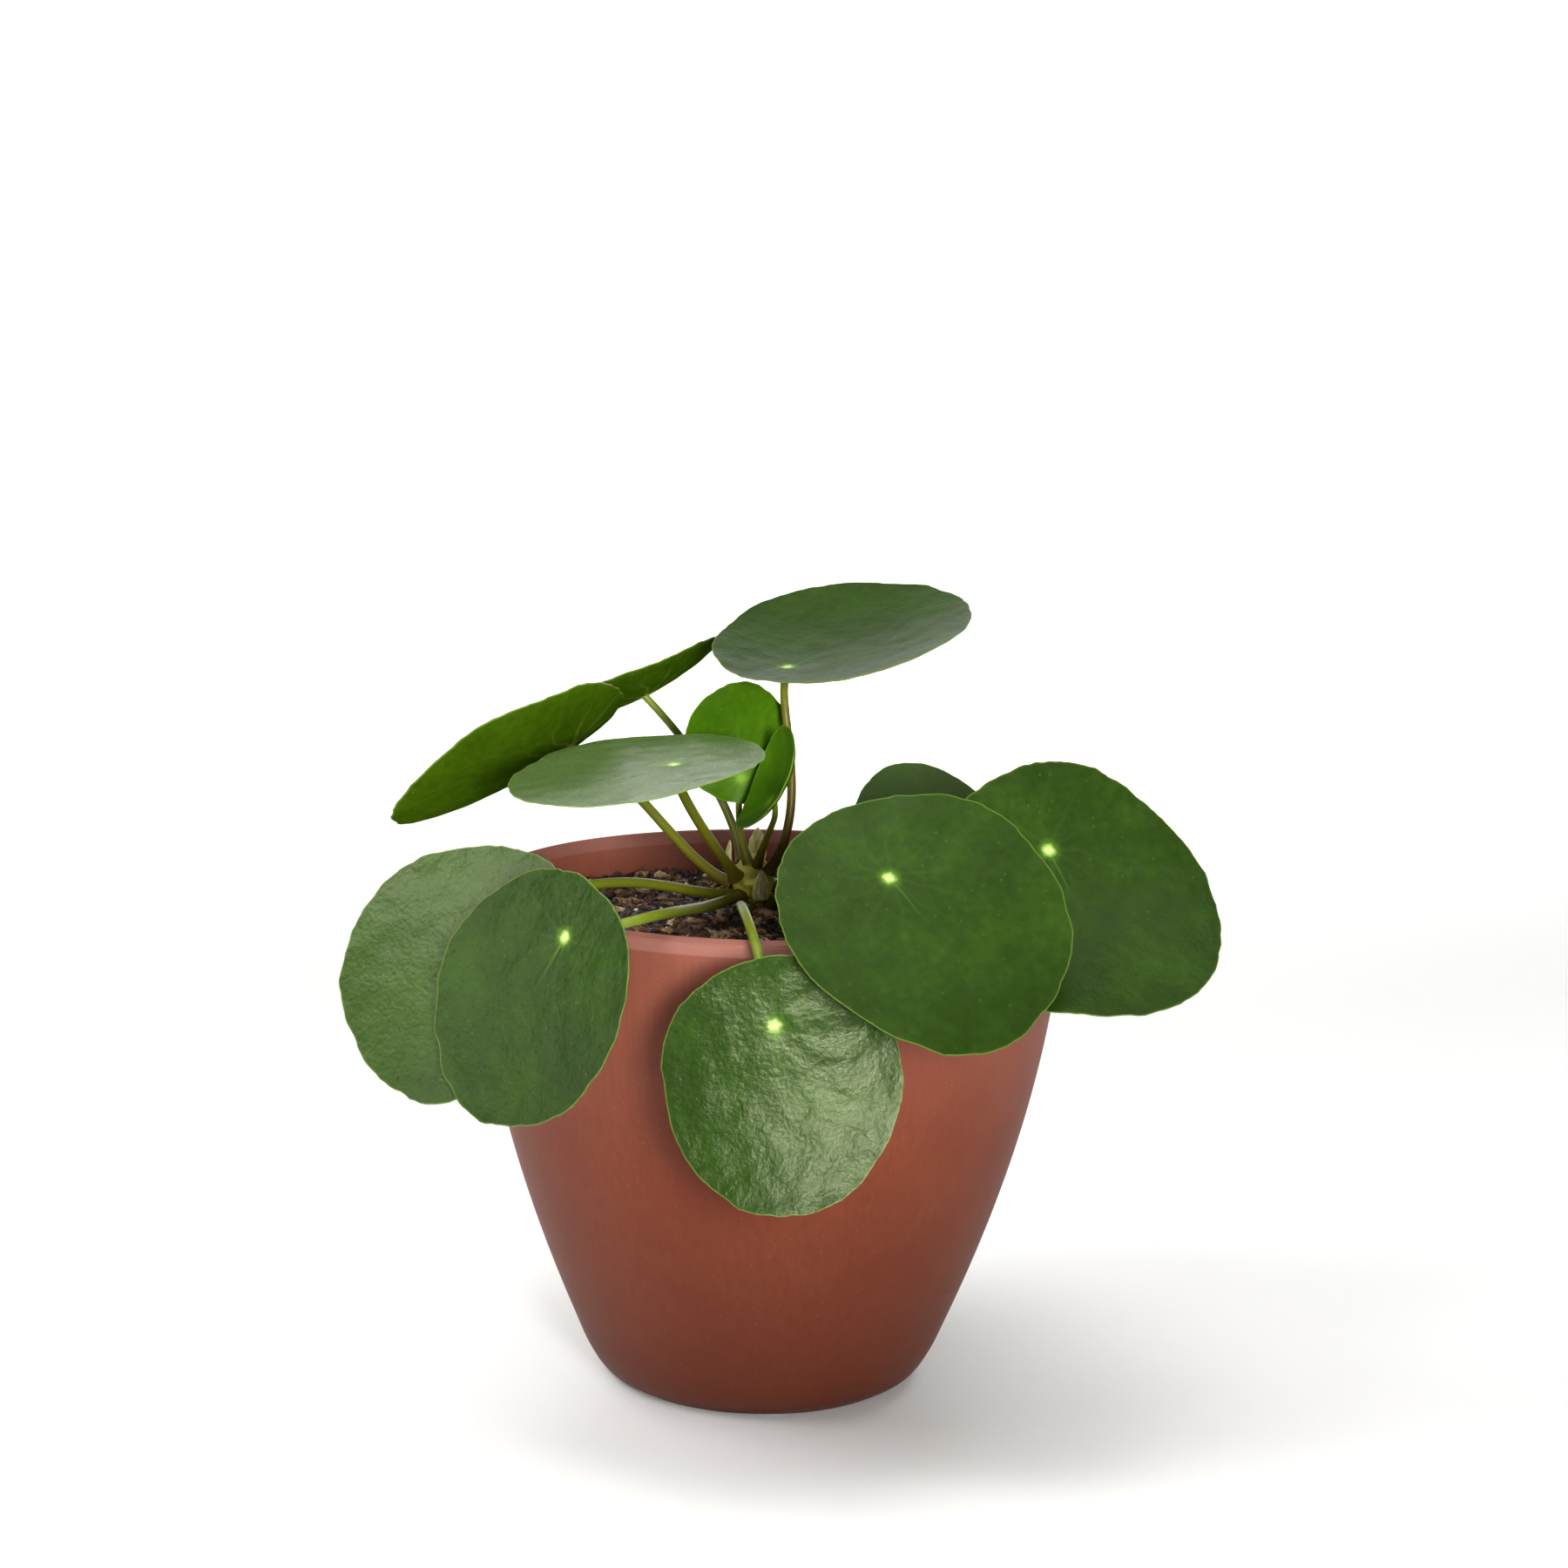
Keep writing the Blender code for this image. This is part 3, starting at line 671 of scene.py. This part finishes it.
class PLANT_OT_mix(bpy.types.Operator):
    """Makes the potting mix: an uneven bed with crumbs, bark chips and perlite lying on it"""

    bl_idname = "plant.mix"
    bl_label = "Make the potting mix"

    def bed(self, settings):
        """The bed's mesh. Its uneven top follows the solid's, and its wall and base stay inside the pot."""
        low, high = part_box("potting_mix")
        shape = merged("potting_mix")
        top_points = [v.co.copy() for v in shape.verts if v.co.z > high.z - 0.006 and v.co.xy.length > 0.02]
        shape.free()
        level = sum(p.z for p in top_points) / len(top_points)
        stem_low, stem_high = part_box("stem")
        stem = (stem_low + stem_high) / 2
        radius = high.x - 0.0001
        rings = 78
        around = 220
        points = []
        for i in range(rings + 1):
            share = i / rings
            for j in range(around):
                angle = 2 * math.pi * j / around
                x = stem.x * (1 - share) + radius * share * math.cos(angle)
                y = stem.y * (1 - share) + radius * share * math.sin(angle)
                away = math.hypot(x - stem.x, y - stem.y)
                rough = noise.noise(Vector((x, y, 0.1)) / 0.011)
                rough += 0.6 * noise.noise(Vector((x, y, 0.4)) / 0.0045)
                rough += 0.4 * noise.noise(Vector((x, y, 0.7)) / 0.0018)
                heap = 0.0014 * math.exp(-((away / 0.016) ** 2))
                points.append((x, y, level + heap + settings.lump * rough))
        faces = [(j, around + j, around + k) for j, k in round_pairs(around)]
        for row in range(around, rings * around, around):
            for j, k in round_pairs(around):
                faces.append((row + j, row + around + j, row + around + k, row + k))
        for z, share in ((level - 0.006, 0.995), (low.z + 0.03, 0.72), (low.z + 0.001, 0.5)):
            first = len(points)
            for j in range(around):
                angle = 2 * math.pi * j / around
                points.append((radius * share * math.cos(angle), radius * share * math.sin(angle), z))
            for j, k in round_pairs(around):
                faces.append((first - around + j, first + j, first + k, first - around + k))
        points.append((0, 0, low.z + 0.001))
        last = len(points) - 1
        for j, k in round_pairs(around):
            faces.append((last - around + j, last, last - around + k))
        mesh = new_mesh("mix_bed", points, faces)
        weld(mesh, 1e-6)
        set_attribute(mesh, "tone", [0.1 + 0.5 * noise.noise(v.co / 0.003) ** 2 for v in mesh.vertices])
        return mesh

    def lump(self, name, uneven, seed):
        """A small lumpy shape, one unit across, to be scattered."""
        shape = bmesh.new()
        bmesh.ops.create_icosphere(shape, subdivisions=2, radius=0.5)
        for vertex in shape.verts:
            vertex.co *= 1 + uneven * noise.noise(vertex.co * 2.6 + Vector((seed, 0, 0)))
        mesh = bpy.data.meshes.new(name)
        shape.to_mesh(mesh)
        shape.free()
        return linked(name, mesh)

    def execute(self, context):
        settings = context.scene.plant_mix
        # Moist peat is near black, with rotted fibre in it.
        dark = [(0.15, "0A0502"), (0.5, "1E0F05"), (0.75, "3C220E"), (0.95, "805632")]
        peat = mix_material("moist_peat", dark, 0.62, 0.0011)
        # Shredded pine bark, rough and fibrous, is red-brown to straw where it broke.
        broken = [(0.15, "140A04"), (0.5, "3C210E"), (0.72, "8E6640"), (0.95, "E4CCA2")]
        bark = mix_material("shredded_pine_bark", broken, 0.6, 0.0007)
        # Perlite is expanded volcanic glass: white, chalky and pitted.
        chalky = [(0.0, "A89878"), (0.5, "D9CCB4"), (1.0, "F4ECDC")]
        perlite = mix_material("expanded_perlite", chalky, 0.75, 0.0006)
        bed = self.bed(settings)
        piece = finish_piece("mix_bed", bed, [peat], ["potting_mix"])
        tree = scatter_tree()
        # Each kind's unevenness, pieces per square metre, largest size, flatness and look.
        kinds = (
            ("peat_crumbs", 1.1, 300000.0, settings.crumb_size, 0.7, peat),
            ("bark_chips", 1.5, 60000.0, settings.bark_size, 0.45, bark),
            ("perlite_grains", 0.5, 30000.0, settings.perlite_size, 0.9, perlite),
        )
        for number, (name, uneven, density, largest, flatness, material) in enumerate(kinds):
            lump = self.lump(f"{name}_shape", uneven, number * 3.7)
            carrier = linked(f"{name}_carrier", piece.data.copy())
            layer = carrier.modifiers.new("scatter", "NODES")
            values = {
                "Shape": lump,
                "Pieces per square metre": density,
                "Smallest": largest * 0.3,
                "Largest": largest,
                "Flatness": flatness,
                "Seed": settings.seed + number,
                "Material": material,
            }
            set_inputs(layer, tree, values)
            mesh = applied(carrier, name)
            bpy.data.objects.remove(lump, do_unlink=True)
            finish_piece(name, mesh, [material], [], smooth=number == 2)
        return {"FINISHED"}


def scale_mesh(name, facts, seed):
    """A papery scale over a CAD scale: pointed, folded round the stem and a little ragged."""
    up = facts["up"]
    rise = np.array((0.0, 0.0, 1.0))
    rise = rise - up * (rise @ up)
    rise /= np.linalg.norm(rise)
    side = np.cross(rise, up)
    away = facts["points"] - facts["middle"]
    half_width = np.abs(away @ side).max()
    half_length = np.abs(away @ rise).max()
    rows, columns = 22, 17
    thick = 0.00018
    points = []
    for layer in (0.0, thick):
        for i in range(rows):
            t = i / (rows - 1)
            wide = half_width * 1.15 * (1 - t) ** 0.75 * (0.72 + 0.9 * t)
            for j in range(columns):
                share = 2 * j / (columns - 1) - 1
                ragged = 1 + 0.16 * noise.noise(Vector((t * 7, share * 2, seed)))
                fold = -0.55 * wide * share * share + 0.0007 * math.sin(3.1 * t) + 0.0006 * t * t
                crease = 0.00012 * math.sin(share * 16 + seed)
                along = half_length * (2.25 * t - 1.05) * (1 - 0.10 * abs(share) * t)
                place = facts["middle"] + side * (share * wide * ragged) + rise * along
                points.append(place + up * (fold + crease - layer))
    faces = []
    one = rows * columns
    for i in range(rows - 1):
        for j in range(columns - 1):
            a = i * columns + j
            faces.append((a, a + columns, a + columns + 1, a + 1))
            faces.append((one + a, one + a + 1, one + a + columns + 1, one + a + columns))
    # Quads along the two sides, then along the two ends, join the upper and lower layers.
    along = [(i * columns + j, columns, j > 0) for i in range(rows - 1) for j in (0, columns - 1)]
    across = [(i * columns + j, 1, i == 0) for j in range(columns - 1) for i in (0, rows - 1)]
    for a, step, flip in along + across:
        quad = (a, one + a, one + a + step, a + step)
        faces.append(quad[::-1] if flip else quad)
    mesh = new_mesh(name, points, faces)
    weld(mesh, 1e-7)
    return mesh


class PLANT_OT_stem(bpy.types.Operator):
    """Makes the woody stem with its leaf scars, and the papery scales round its crown"""

    bl_idname = "plant.stem"
    bl_label = "Make the stem"

    def execute(self, context):
        shape = merged("stem")
        low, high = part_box("stem")
        middle = (low + high) / 2
        rings = {}
        for vertex in shape.verts:
            away = math.hypot(vertex.co.x - middle.x, vertex.co.y - middle.y)
            z = round(vertex.co.z, 5)
            rings[z] = max(rings.get(z, 0.0), away)
        shape.free()
        heights = sorted(rings)
        levels = np.linspace(heights[0], heights[-1], 90)
        radii = np.interp(levels, heights, [rings[z] for z in heights])
        around = 64
        points = []
        for z, radius in zip(levels, radii):
            for j in range(around):
                angle = 2 * math.pi * j / around
                x, y = math.cos(angle), math.sin(angle)
                # Leaf scars circle the stem every 3 mm, and the bark is knobbly.
                scar = 0.05 * math.sin(2 * math.pi * (z - low.z) / 0.003 + 1.5 * y)
                knob = 0.30 * noise.noise(Vector((x, y, z / 0.004)) * 1.5)
                knob += 0.10 * noise.noise(Vector((x, y, z / 0.0025)) * 4.0)
                wide = radius * (1 + scar + knob)
                points.append((middle.x + wide * x, middle.y + wide * y, z))
        faces = []
        for row in range(0, (len(levels) - 1) * around, around):
            for j, k in round_pairs(around):
                faces.append((row + j, row + k, row + around + k, row + around + j))
        faces.append(tuple(reversed(range(around))))
        faces.append(tuple(range(len(points) - around, len(points))))
        mesh = new_mesh("stem_wood", points, faces)
        finish_piece("stem_wood", mesh, [stem_material()], ["stem"])
        paper = scale_material()
        for number, name in enumerate(SCALES):
            facts = blade_facts(name, middle)
            sheet = scale_mesh(name, facts, number)
            finish_piece(name.replace("stem_scale", "bud_scale"), sheet, [paper], [name])
        return {"FINISHED"}


def stalk_rings(name):
    """The centres and radii of a CAD stalk's rings, from its blade's end down to the stem."""
    shape = merged(f"stalk_{name}")
    blade = merged(f"blade_{name}")
    target = sum((v.co for v in blade.verts), Vector()) / len(blade.verts)
    blade.free()
    shape.faces.ensure_lookup_table()
    seen = set()
    best = None
    for start in shape.faces:
        if start in seen:
            continue
        patch = [start]
        seen.add(start)
        for face in patch:
            for edge in face.edges:
                for other in edge.link_faces:
                    if other not in seen and other.normal.angle(start.normal) < 0.002:
                        seen.add(other)
                        patch.append(other)
        if len(patch) < 5:
            continue
        corners = {v for face in patch for v in face.verts}
        centre = sum((v.co for v in corners), Vector()) / len(corners)
        if best is None or (centre - target).length < best[0]:
            best = ((centre - target).length, corners)
    if best is None:
        raise RuntimeError(f"stalk_{name} has no flat end")
    layer = best[1]
    used = set(layer)
    rings = []
    while layer:
        ring = [v for v in layer if len(v.link_edges) != 8 or len(layer) <= 8]
        if len(ring) >= 7:
            centre = sum((v.co for v in ring), Vector()) / len(ring)
            rings.append((centre, max((v.co - centre).length for v in ring)))
        layer = {e.other_vert(v) for v in layer for e in v.link_edges} - used
        used |= layer
    shape.free()
    return rings


def stalk_tree():
    """Geometry Nodes that sweep a round skin along a stalk's line, by the radius stored on it."""
    tree, add, given = new_tree("leaf_stalk", {"Sides": "Int", "Step": "Float"})
    curve = add("GeometryNodeMeshToCurve", {0: given["Geometry"]})
    even = add("GeometryNodeResampleCurve", {"Curve": curve, "Length": given["Step"]}, mode="LENGTH")
    wide = add("GeometryNodeInputNamedAttribute", {"Name": "wide"}, data_type="FLOAT")
    sized = add("GeometryNodeSetCurveRadius", {"Curve": even, "Radius": wide})
    share = add("GeometryNodeSplineParameter").outputs["Factor"]
    mark = {"Geometry": sized, "Name": "along", "Value": share}
    marked = add("GeometryNodeStoreNamedAttribute", mark, data_type="FLOAT")
    ring = add("GeometryNodeCurvePrimitiveCircle", {"Resolution": given["Sides"], "Radius": 1.0})
    sweep = {"Curve": marked, "Profile Curve": ring, "Fill Caps": True}
    skin = add("GeometryNodeCurveToMesh", sweep)
    if "Scale" in skin.inputs:
        fill(skin, {"Scale": add("GeometryNodeInputRadius")})
    close_tree(add, skin, given["Material"])
    return tree


class PLANT_OT_stalks(bpy.types.Operator):
    """Makes each leaf's stalk as a smooth tapering sweep from the stem to its blade"""

    bl_idname = "plant.stalks"
    bl_label = "Make the stalks"

    def trim_tip(self, mesh, name, joint):
        """Flattens a stalk's tip against the underside of its blade, so that nothing pokes through."""
        facts = blade_facts(f"blade_{name}", joint)
        axes, surface = blade_frame(facts, joint)
        start = np.array(joint)
        for vertex in mesh.vertices:
            u, v, w = axes @ (np.array(vertex.co) - start)
            if math.hypot(u, v) < TIP_REACH and abs(w) < TIP_REACH:
                highest = float(curved_terms(u, v) @ surface) - TIP_DEPTH
                vertex.co = start + np.array((u, v, min(w, highest))) @ axes

    def execute(self, context):
        settings = context.scene.plant_stalk
        tree = stalk_tree()
        skin = stalk_material()
        for name in LEAVES:
            rings = stalk_rings(name)
            rings.reverse()
            if len(rings) < 6:
                raise RuntimeError(f"stalk_{name} gave {len(rings)} rings")
            centres = [centre for centre, _ in rings]
            # The finished stalk reaches into the stem's bark and up to the underside of its blade.
            inward = (centres[0] - centres[1]).normalized() * 0.0011
            onward = (centres[-1] - centres[-2]).normalized() * 0.0012
            line = smooth_line([centres[0] + inward] + centres + [centres[-1] + onward], 4)
            base = rings[1][1]
            tip = rings[-2][1]
            mesh = new_mesh(f"line_{name}", line, [], [(i, i + 1) for i in range(len(line) - 1)])
            shares = np.linspace(0, 1, len(line))
            wide = base + (tip - base) * shares
            length = sum((b - a).length for a, b in zip(line, line[1:]))
            # The base sheathes the stem over some 5 mm, and the tip spreads under the blade over 2 mm.
            base_swell = settings.flare * np.exp(-((shares * length / 0.0042) ** 2))
            tip_swell = 0.35 * np.exp(-(1 - shares) * length / 0.0016)
            wide = wide * (1 + base_swell + tip_swell)
            set_attribute(mesh, "wide", wide * 0.97)
            brown = {"top": 0.85, "folded_young": 0.55, "left_level": 0.35, "left_high": 0.25}.get(name, 0.08)
            set_attribute(mesh, "browning", brown * np.clip(1.25 - shares, 0, 1))
            carrier = linked(f"line_{name}", mesh)
            layer = carrier.modifiers.new("sweep", "NODES")
            set_inputs(layer, tree, {"Sides": settings.sides, "Step": settings.step, "Material": skin})
            swept = applied(carrier, f"leafstalk_{name}")
            self.trim_tip(swept, name, centres[-1])
            finish_piece(f"leafstalk_{name}", swept, [skin], [f"stalk_{name}"])
        return {"FINISHED"}


def blade_facts(node_name, joined_at):
    """A CAD blade's middle, the way its upper face looks, its points, and those on that face and its edge."""
    shape = merged(node_name)
    points = np.array([v.co for v in shape.verts])
    middle = points.mean(0)
    up = np.linalg.svd(points - middle)[2][2]
    if (np.array(joined_at) - middle) @ up > 0:
        up = -up
    upper = set()
    edge = set()
    for face in shape.faces:
        facing = float(np.array(face.normal) @ up)
        if facing > 0.5:
            upper.update(v.index for v in face.verts)
        if abs(facing) < 0.5:
            edge.update(v.index for v in face.verts)
    shape.free()
    return {"middle": middle, "up": up, "points": points, "upper": sorted(upper), "edge": sorted(edge)}


def curved_terms(u, v):
    """The terms of a surface curved both ways, at a place in a blade's own plane."""
    return np.stack([np.ones_like(u), u, v, u * u, u * v, v * v], -1)


def blade_frame(facts, joint):
    """A blade's own axes (across, towards its tip, up) and its curved upper surface, from its joint."""
    up = facts["up"]
    start = np.array(joint)
    tipward = facts["points"][facts["edge"]].mean(0) - start
    tipward = tipward - up * (tipward @ up)
    if np.linalg.norm(tipward) < 0.001:
        tipward = np.cross(up, (1.0, 0.0, 0.0))
    tipward /= np.linalg.norm(tipward)
    axes = np.array([np.cross(tipward, up), tipward, up])
    u, v, w = ((facts["points"][facts["upper"]] - start) @ axes.T).T
    surface = np.linalg.lstsq(curved_terms(u, v), w, rcond=None)[0]
    return axes, surface


def blade_mesh(name, facts, settings, seed, crinkle, painted_sheen, joint):
    """A fine closed blade over a CAD blade's surface and outline, with its relief, map and attributes."""
    around = settings.around
    outward = settings.outward
    start = np.array(joint)
    axes, surface = blade_frame(facts, joint)
    side, tipward, up = axes
    rim = (facts["points"][facts["edge"]] - start) @ axes.T
    bearing = np.arctan2(rim[:, 1], rim[:, 0])
    distance = np.hypot(rim[:, 0], rim[:, 1])
    orders = np.arange(1, 8)
    waves = [np.ones_like(bearing)] + [np.cos(k * bearing) for k in orders]
    waves += [np.sin(k * bearing) for k in orders]
    outline = np.linalg.lstsq(np.stack(waves, 1), distance, rcond=None)[0]

    turn = np.linspace(0, 2 * math.pi, around, endpoint=False)
    reach = outline[0] + sum(outline[k] * np.cos(k * turn) for k in orders)
    reach = reach + sum(outline[7 + k] * np.sin(k * turn) for k in orders)
    size = reach.mean()
    scallop = [
        noise.noise(Vector((2.2 * math.cos(a), 2.2 * math.sin(a), seed))) * 0.014
        + noise.noise(Vector((7 * math.cos(a), 7 * math.sin(a), seed + 5))) * 0.018
        + noise.noise(Vector((17 * math.cos(a), 17 * math.sin(a), seed + 7))) * 0.008
        for a in turn
    ]
    reach = reach * (1 + np.array(scallop))
    shares = np.sin(np.linspace(0, 1, outward + 1) * math.pi / 2) ** 0.9
    top = []
    under = []
    uv = []
    to_edge = []
    crinkled = []
    for ring, share in enumerate(shares):
        for j, angle in enumerate(turn if ring else turn[:1]):
            x = share * reach[j] * math.cos(angle)
            y = share * reach[j] * math.sin(angle)
            rise = float(curved_terms(x, y) @ surface)
            r = math.hypot(x, y)
            spot = Vector((x, y, seed * 0.05))
            relief = settings.pucker * noise.noise(spot / 0.0042) * 1.2
            relief += settings.pucker * 1.3 * noise.noise(spot / 0.012)
            relief -= 0.00015 * math.exp(-((r / 0.0030) ** 2))
            wave = noise.noise(Vector((1.7 * math.cos(angle), 1.7 * math.sin(angle), seed + 9)))
            relief += settings.ripple * (size / 0.027) * share**3 * wave
            nearby = (1 - share) * reach[j]
            filled = settings.thickness - settings.edge_thickness
            thick = settings.edge_thickness + filled * min(1.0, nearby / 0.0015)
            place = start + side * x + tipward * y + up * (rise + relief)
            top.append(place)
            under.append(place - up * thick)
            uv.append((x * 10, y * 10))
            to_edge.append(nearby * 1000)
            lean = 0.5 + 0.5 * math.sin(angle + 0.6 * seed)
            crinkled.append(crinkle * (0.5 + 0.5 * lean))
    count = len(top)
    faces = []
    slots = []
    for ring in range(outward):
        near = 1 + (ring - 1) * around
        far = 1 + ring * around
        for j, k in round_pairs(around):
            quad = (0, far + j, far + k) if ring == 0 else (near + j, far + j, far + k, near + k)
            faces.append(quad)
            slots.append(0)
            faces.append(tuple(count + i for i in reversed(quad)))
            slots.append(1)
    last = 1 + (outward - 1) * around
    for j, k in round_pairs(around):
        faces.append((last + j, count + last + j, count + last + k, last + k))
        slots.append(0)
    mesh = new_mesh(name, top + under, faces)
    mesh.polygons.foreach_set("material_index", slots)
    set_uv(mesh, "from_dot", uv + uv)
    set_attribute(mesh, "rim_mm", to_edge + to_edge)
    set_attribute(mesh, "leaf_seed", [seed * 17.3] * (2 * count))
    set_attribute(mesh, "crinkle", crinkled + crinkled)
    set_attribute(mesh, "painted_sheen", [painted_sheen] * (2 * count))
    return mesh


class PLANT_OT_leaves(bpy.types.Operator):
    """Makes the round leaf blades with their dots, veins, puckers and pale edges"""

    bl_idname = "plant.leaves"
    bl_label = "Make the leaves"

    def execute(self, context):
        settings = context.scene.plant_leaf
        veins = settings.veins
        tones = [(0.25, "152904"), (0.5, "1F3706"), (0.78, "2C480B")]
        colours = ("7A923A", "4A7418", "BCD47C", "4E6E20")
        mature = leaf_material("mature_leaf_skin", tones, *colours, veins, 0.28)
        tones = [(0.25, "192C07"), (0.5, "213709"), (0.78, "2C470C")]
        colours = ("708A34", "426A16", "AEC46E", "425E20")
        satin = leaf_material("satin_leaf_skin", tones, *colours, veins, 0.44, shine=0.15)
        tones = [(0.25, "2C4C02"), (0.5, "385C03"), (0.78, "466E06")]
        colours = ("6E8E2A", "4A740E", "6E9426", "507C1A")
        young = leaf_material("young_leaf_skin", tones, *colours, veins, 0.4, relief=0.5, shine=0.16)
        tones = [(0.25, "2A4205"), (0.5, "354E06"), (0.78, "425E0C")]
        colours = ("6E8634", "6E8A36", "94A858", "6E8C30")
        dull = {"relief": 0.8, "shine": 0.0, "veining": 0.4}
        under = leaf_material("leaf_underside", tones, *colours, veins, 0.8, **dull)
        fill(under.node_tree.nodes["Principled BSDF"], {"IOR": 1.2})
        for number, name in enumerate(LEAVES):
            node_name = f"blade_{name}"
            end = stalk_rings(name)[0][0]
            facts = blade_facts(node_name, end)
            upper = mature
            if name in YOUNG:
                upper = young
            elif name in SATIN:
                upper = satin
            crinkle = {"front": 0.6, "left_inner": 0.8, "left_outer": 0.8}.get(name, 0.3)
            # Painted sheen: how far each of these blades is mixed towards pale grey-green, standing in for
            # light on it.
            painted_sheen = {"left_level": 0.22, "left_outer": 0.05, "right_back": 0.12}.get(name, 0.0)
            mesh = blade_mesh(f"leaf_{name}", facts, settings, number + 1, crinkle, painted_sheen, end)
            finish_piece(f"leaf_{name}", mesh, [upper, under], [node_name])
        return {"FINISHED"}


class PLANT_OT_stage(bpy.types.Operator):
    """Sets up the pale floor, the soft studio lights and the camera"""

    bl_idname = "plant.stage"
    bl_label = "Set the stage"

    def soft_light(self, name, place, target, size, power, spread=math.pi):
        """A round white light at a place, turned to its target, with the width of its beam."""
        lamp = bpy.data.lights.new(name, "AREA")
        lamp.shape = "DISK"
        lamp.size = size
        lamp.energy = power
        lamp.spread = spread
        item = linked(name, lamp)
        item.location = place
        item.rotation_euler = (Vector(target) - Vector(place)).to_track_quat("-Z", "Y").to_euler()

    def execute(self, context):
        settings = context.scene.plant_stage
        # One sweep of pale paper: a floor that curves up behind the plant.
        section = [(-3.0, 0.0), (1.2, 0.0)]
        section += [(1.2 + 0.6 * math.sin(a), 0.6 - 0.6 * math.cos(a)) for a in np.linspace(0.1, 1.5708, 14)]
        section.append((1.8, 3.5))
        points = [(x, y, z) for y, z in section for x in (-3.5, 3.5)]
        faces = [(2 * i, 2 * i + 1, 2 * i + 3, 2 * i + 2) for i in range(len(section) - 1)]
        mesh = new_mesh("paper_sweep", points, faces)
        mesh.shade_smooth()
        paper, _, shader = new_material("matte_backdrop_paper")
        fill(shader, {"Base Color": settings.floor, "Roughness": 0.9, "Specular IOR Level": 0.1})
        mesh.materials.append(paper)
        linked("paper_sweep", mesh)

        middle = (0.0, 0.0, 0.11)
        self.soft_light("top_softbox", (-0.05, -0.06, 1.30), middle, 0.9, settings.top_power)
        self.soft_light("key_softbox", (-0.06, -0.95, 0.80), middle, 0.7, settings.key_power)
        self.soft_light("left_softbox", (-0.82, -0.36, 0.98), middle, 0.45, settings.left_power)
        # A low light on the left gives the left-hand leaves their sheen.
        self.soft_light("sheen_softbox", (-1.0, -0.20, 0.40), middle, 0.4, settings.sheen_power)
        # A grid on the front light keeps it on the leaves and the top of the pot.
        beam = settings.front_spread
        crown = (0.0, -0.05, 0.22)
        self.soft_light("front_softbox", (0.20, -0.95, 0.31), crown, 0.28, settings.front_power, beam)
        # The backdrop has a light of its own, turned away from the plant.
        wide = math.radians(110)
        rear = (0.0, 1.6, 0.5)
        self.soft_light("backdrop_light", (0.0, 0.8, 1.4), rear, 0.9, settings.backdrop_power, wide)
        # Two gridded lights wash the floor on each side of the plant and don't reach it.
        beam = math.radians(60)
        for name, x in (("left_floor_wash", -0.75), ("right_floor_wash", 0.75)):
            self.soft_light(name, (x, 0.05, 1.1), (x * 0.85, -0.05, 0.0), 0.5, settings.wash_power, beam)
        world = context.scene.world or bpy.data.worlds.new("studio")
        context.scene.world = world
        world.use_nodes = True
        fill(world.node_tree.nodes["Background"], {"Color": "FFFFFF", "Strength": settings.ambient})

        camera = bpy.data.cameras.new("camera")
        camera.lens = settings.lens
        camera.sensor_width = 36.0
        camera.clip_end = 20.0
        item = linked("camera", camera)
        place = Matrix.Translation((settings.aside, -settings.distance, settings.height))
        tilt = Matrix.Rotation(math.pi / 2 - settings.pitch, 4, "X")
        item.matrix_world = place @ tilt @ Matrix.Rotation(settings.roll, 4, "Z")
        context.scene.camera = item
        context.scene.view_settings.view_transform = "Standard"
        return {"FINISHED"}


class PLANT_PT_panel(bpy.types.Panel):
    """Lists the plant's operators and settings"""

    bl_idname = "PLANT_PT_panel"
    bl_label = "Chinese money plant"
    bl_space_type = "VIEW_3D"
    bl_region_type = "UI"
    bl_category = "Plant"

    def draw(self, context):
        rows = (
            ("plant.pot", "plant_pot"),
            ("plant.mix", "plant_mix"),
            ("plant.stem", None),
            ("plant.stalks", "plant_stalk"),
            ("plant.leaves", "plant_leaf"),
            ("plant.stage", "plant_stage"),
        )
        for operator, group in rows:
            box = self.layout.box()
            box.operator(operator)
            if group:
                settings = getattr(context.scene, group)
                for name in type(settings).__annotations__:
                    box.prop(settings, name)


GROUPS = {
    "plant_pot": PotSettings,
    "plant_mix": MixSettings,
    "plant_stalk": StalkSettings,
    "plant_leaf": LeafSettings,
    "plant_stage": StageSettings,
}
CLASSES = (
    *GROUPS.values(),
    PLANT_OT_pot,
    PLANT_OT_mix,
    PLANT_OT_stem,
    PLANT_OT_stalks,
    PLANT_OT_leaves,
    PLANT_OT_stage,
    PLANT_PT_panel,
)


def register():
    for item in CLASSES:
        bpy.utils.register_class(item)
    for name, group in GROUPS.items():
        setattr(bpy.types.Scene, name, bpy.props.PointerProperty(type=group))


def unregister():
    for name in GROUPS:
        delattr(bpy.types.Scene, name)
    for item in reversed(CLASSES):
        bpy.utils.unregister_class(item)


def main():
    register()
    bpy.ops.plant.pot()
    bpy.ops.plant.mix()
    bpy.ops.plant.stem()
    bpy.ops.plant.stalks()
    bpy.ops.plant.leaves()
    bpy.ops.plant.stage()


if __name__ == "__main__":
    main()
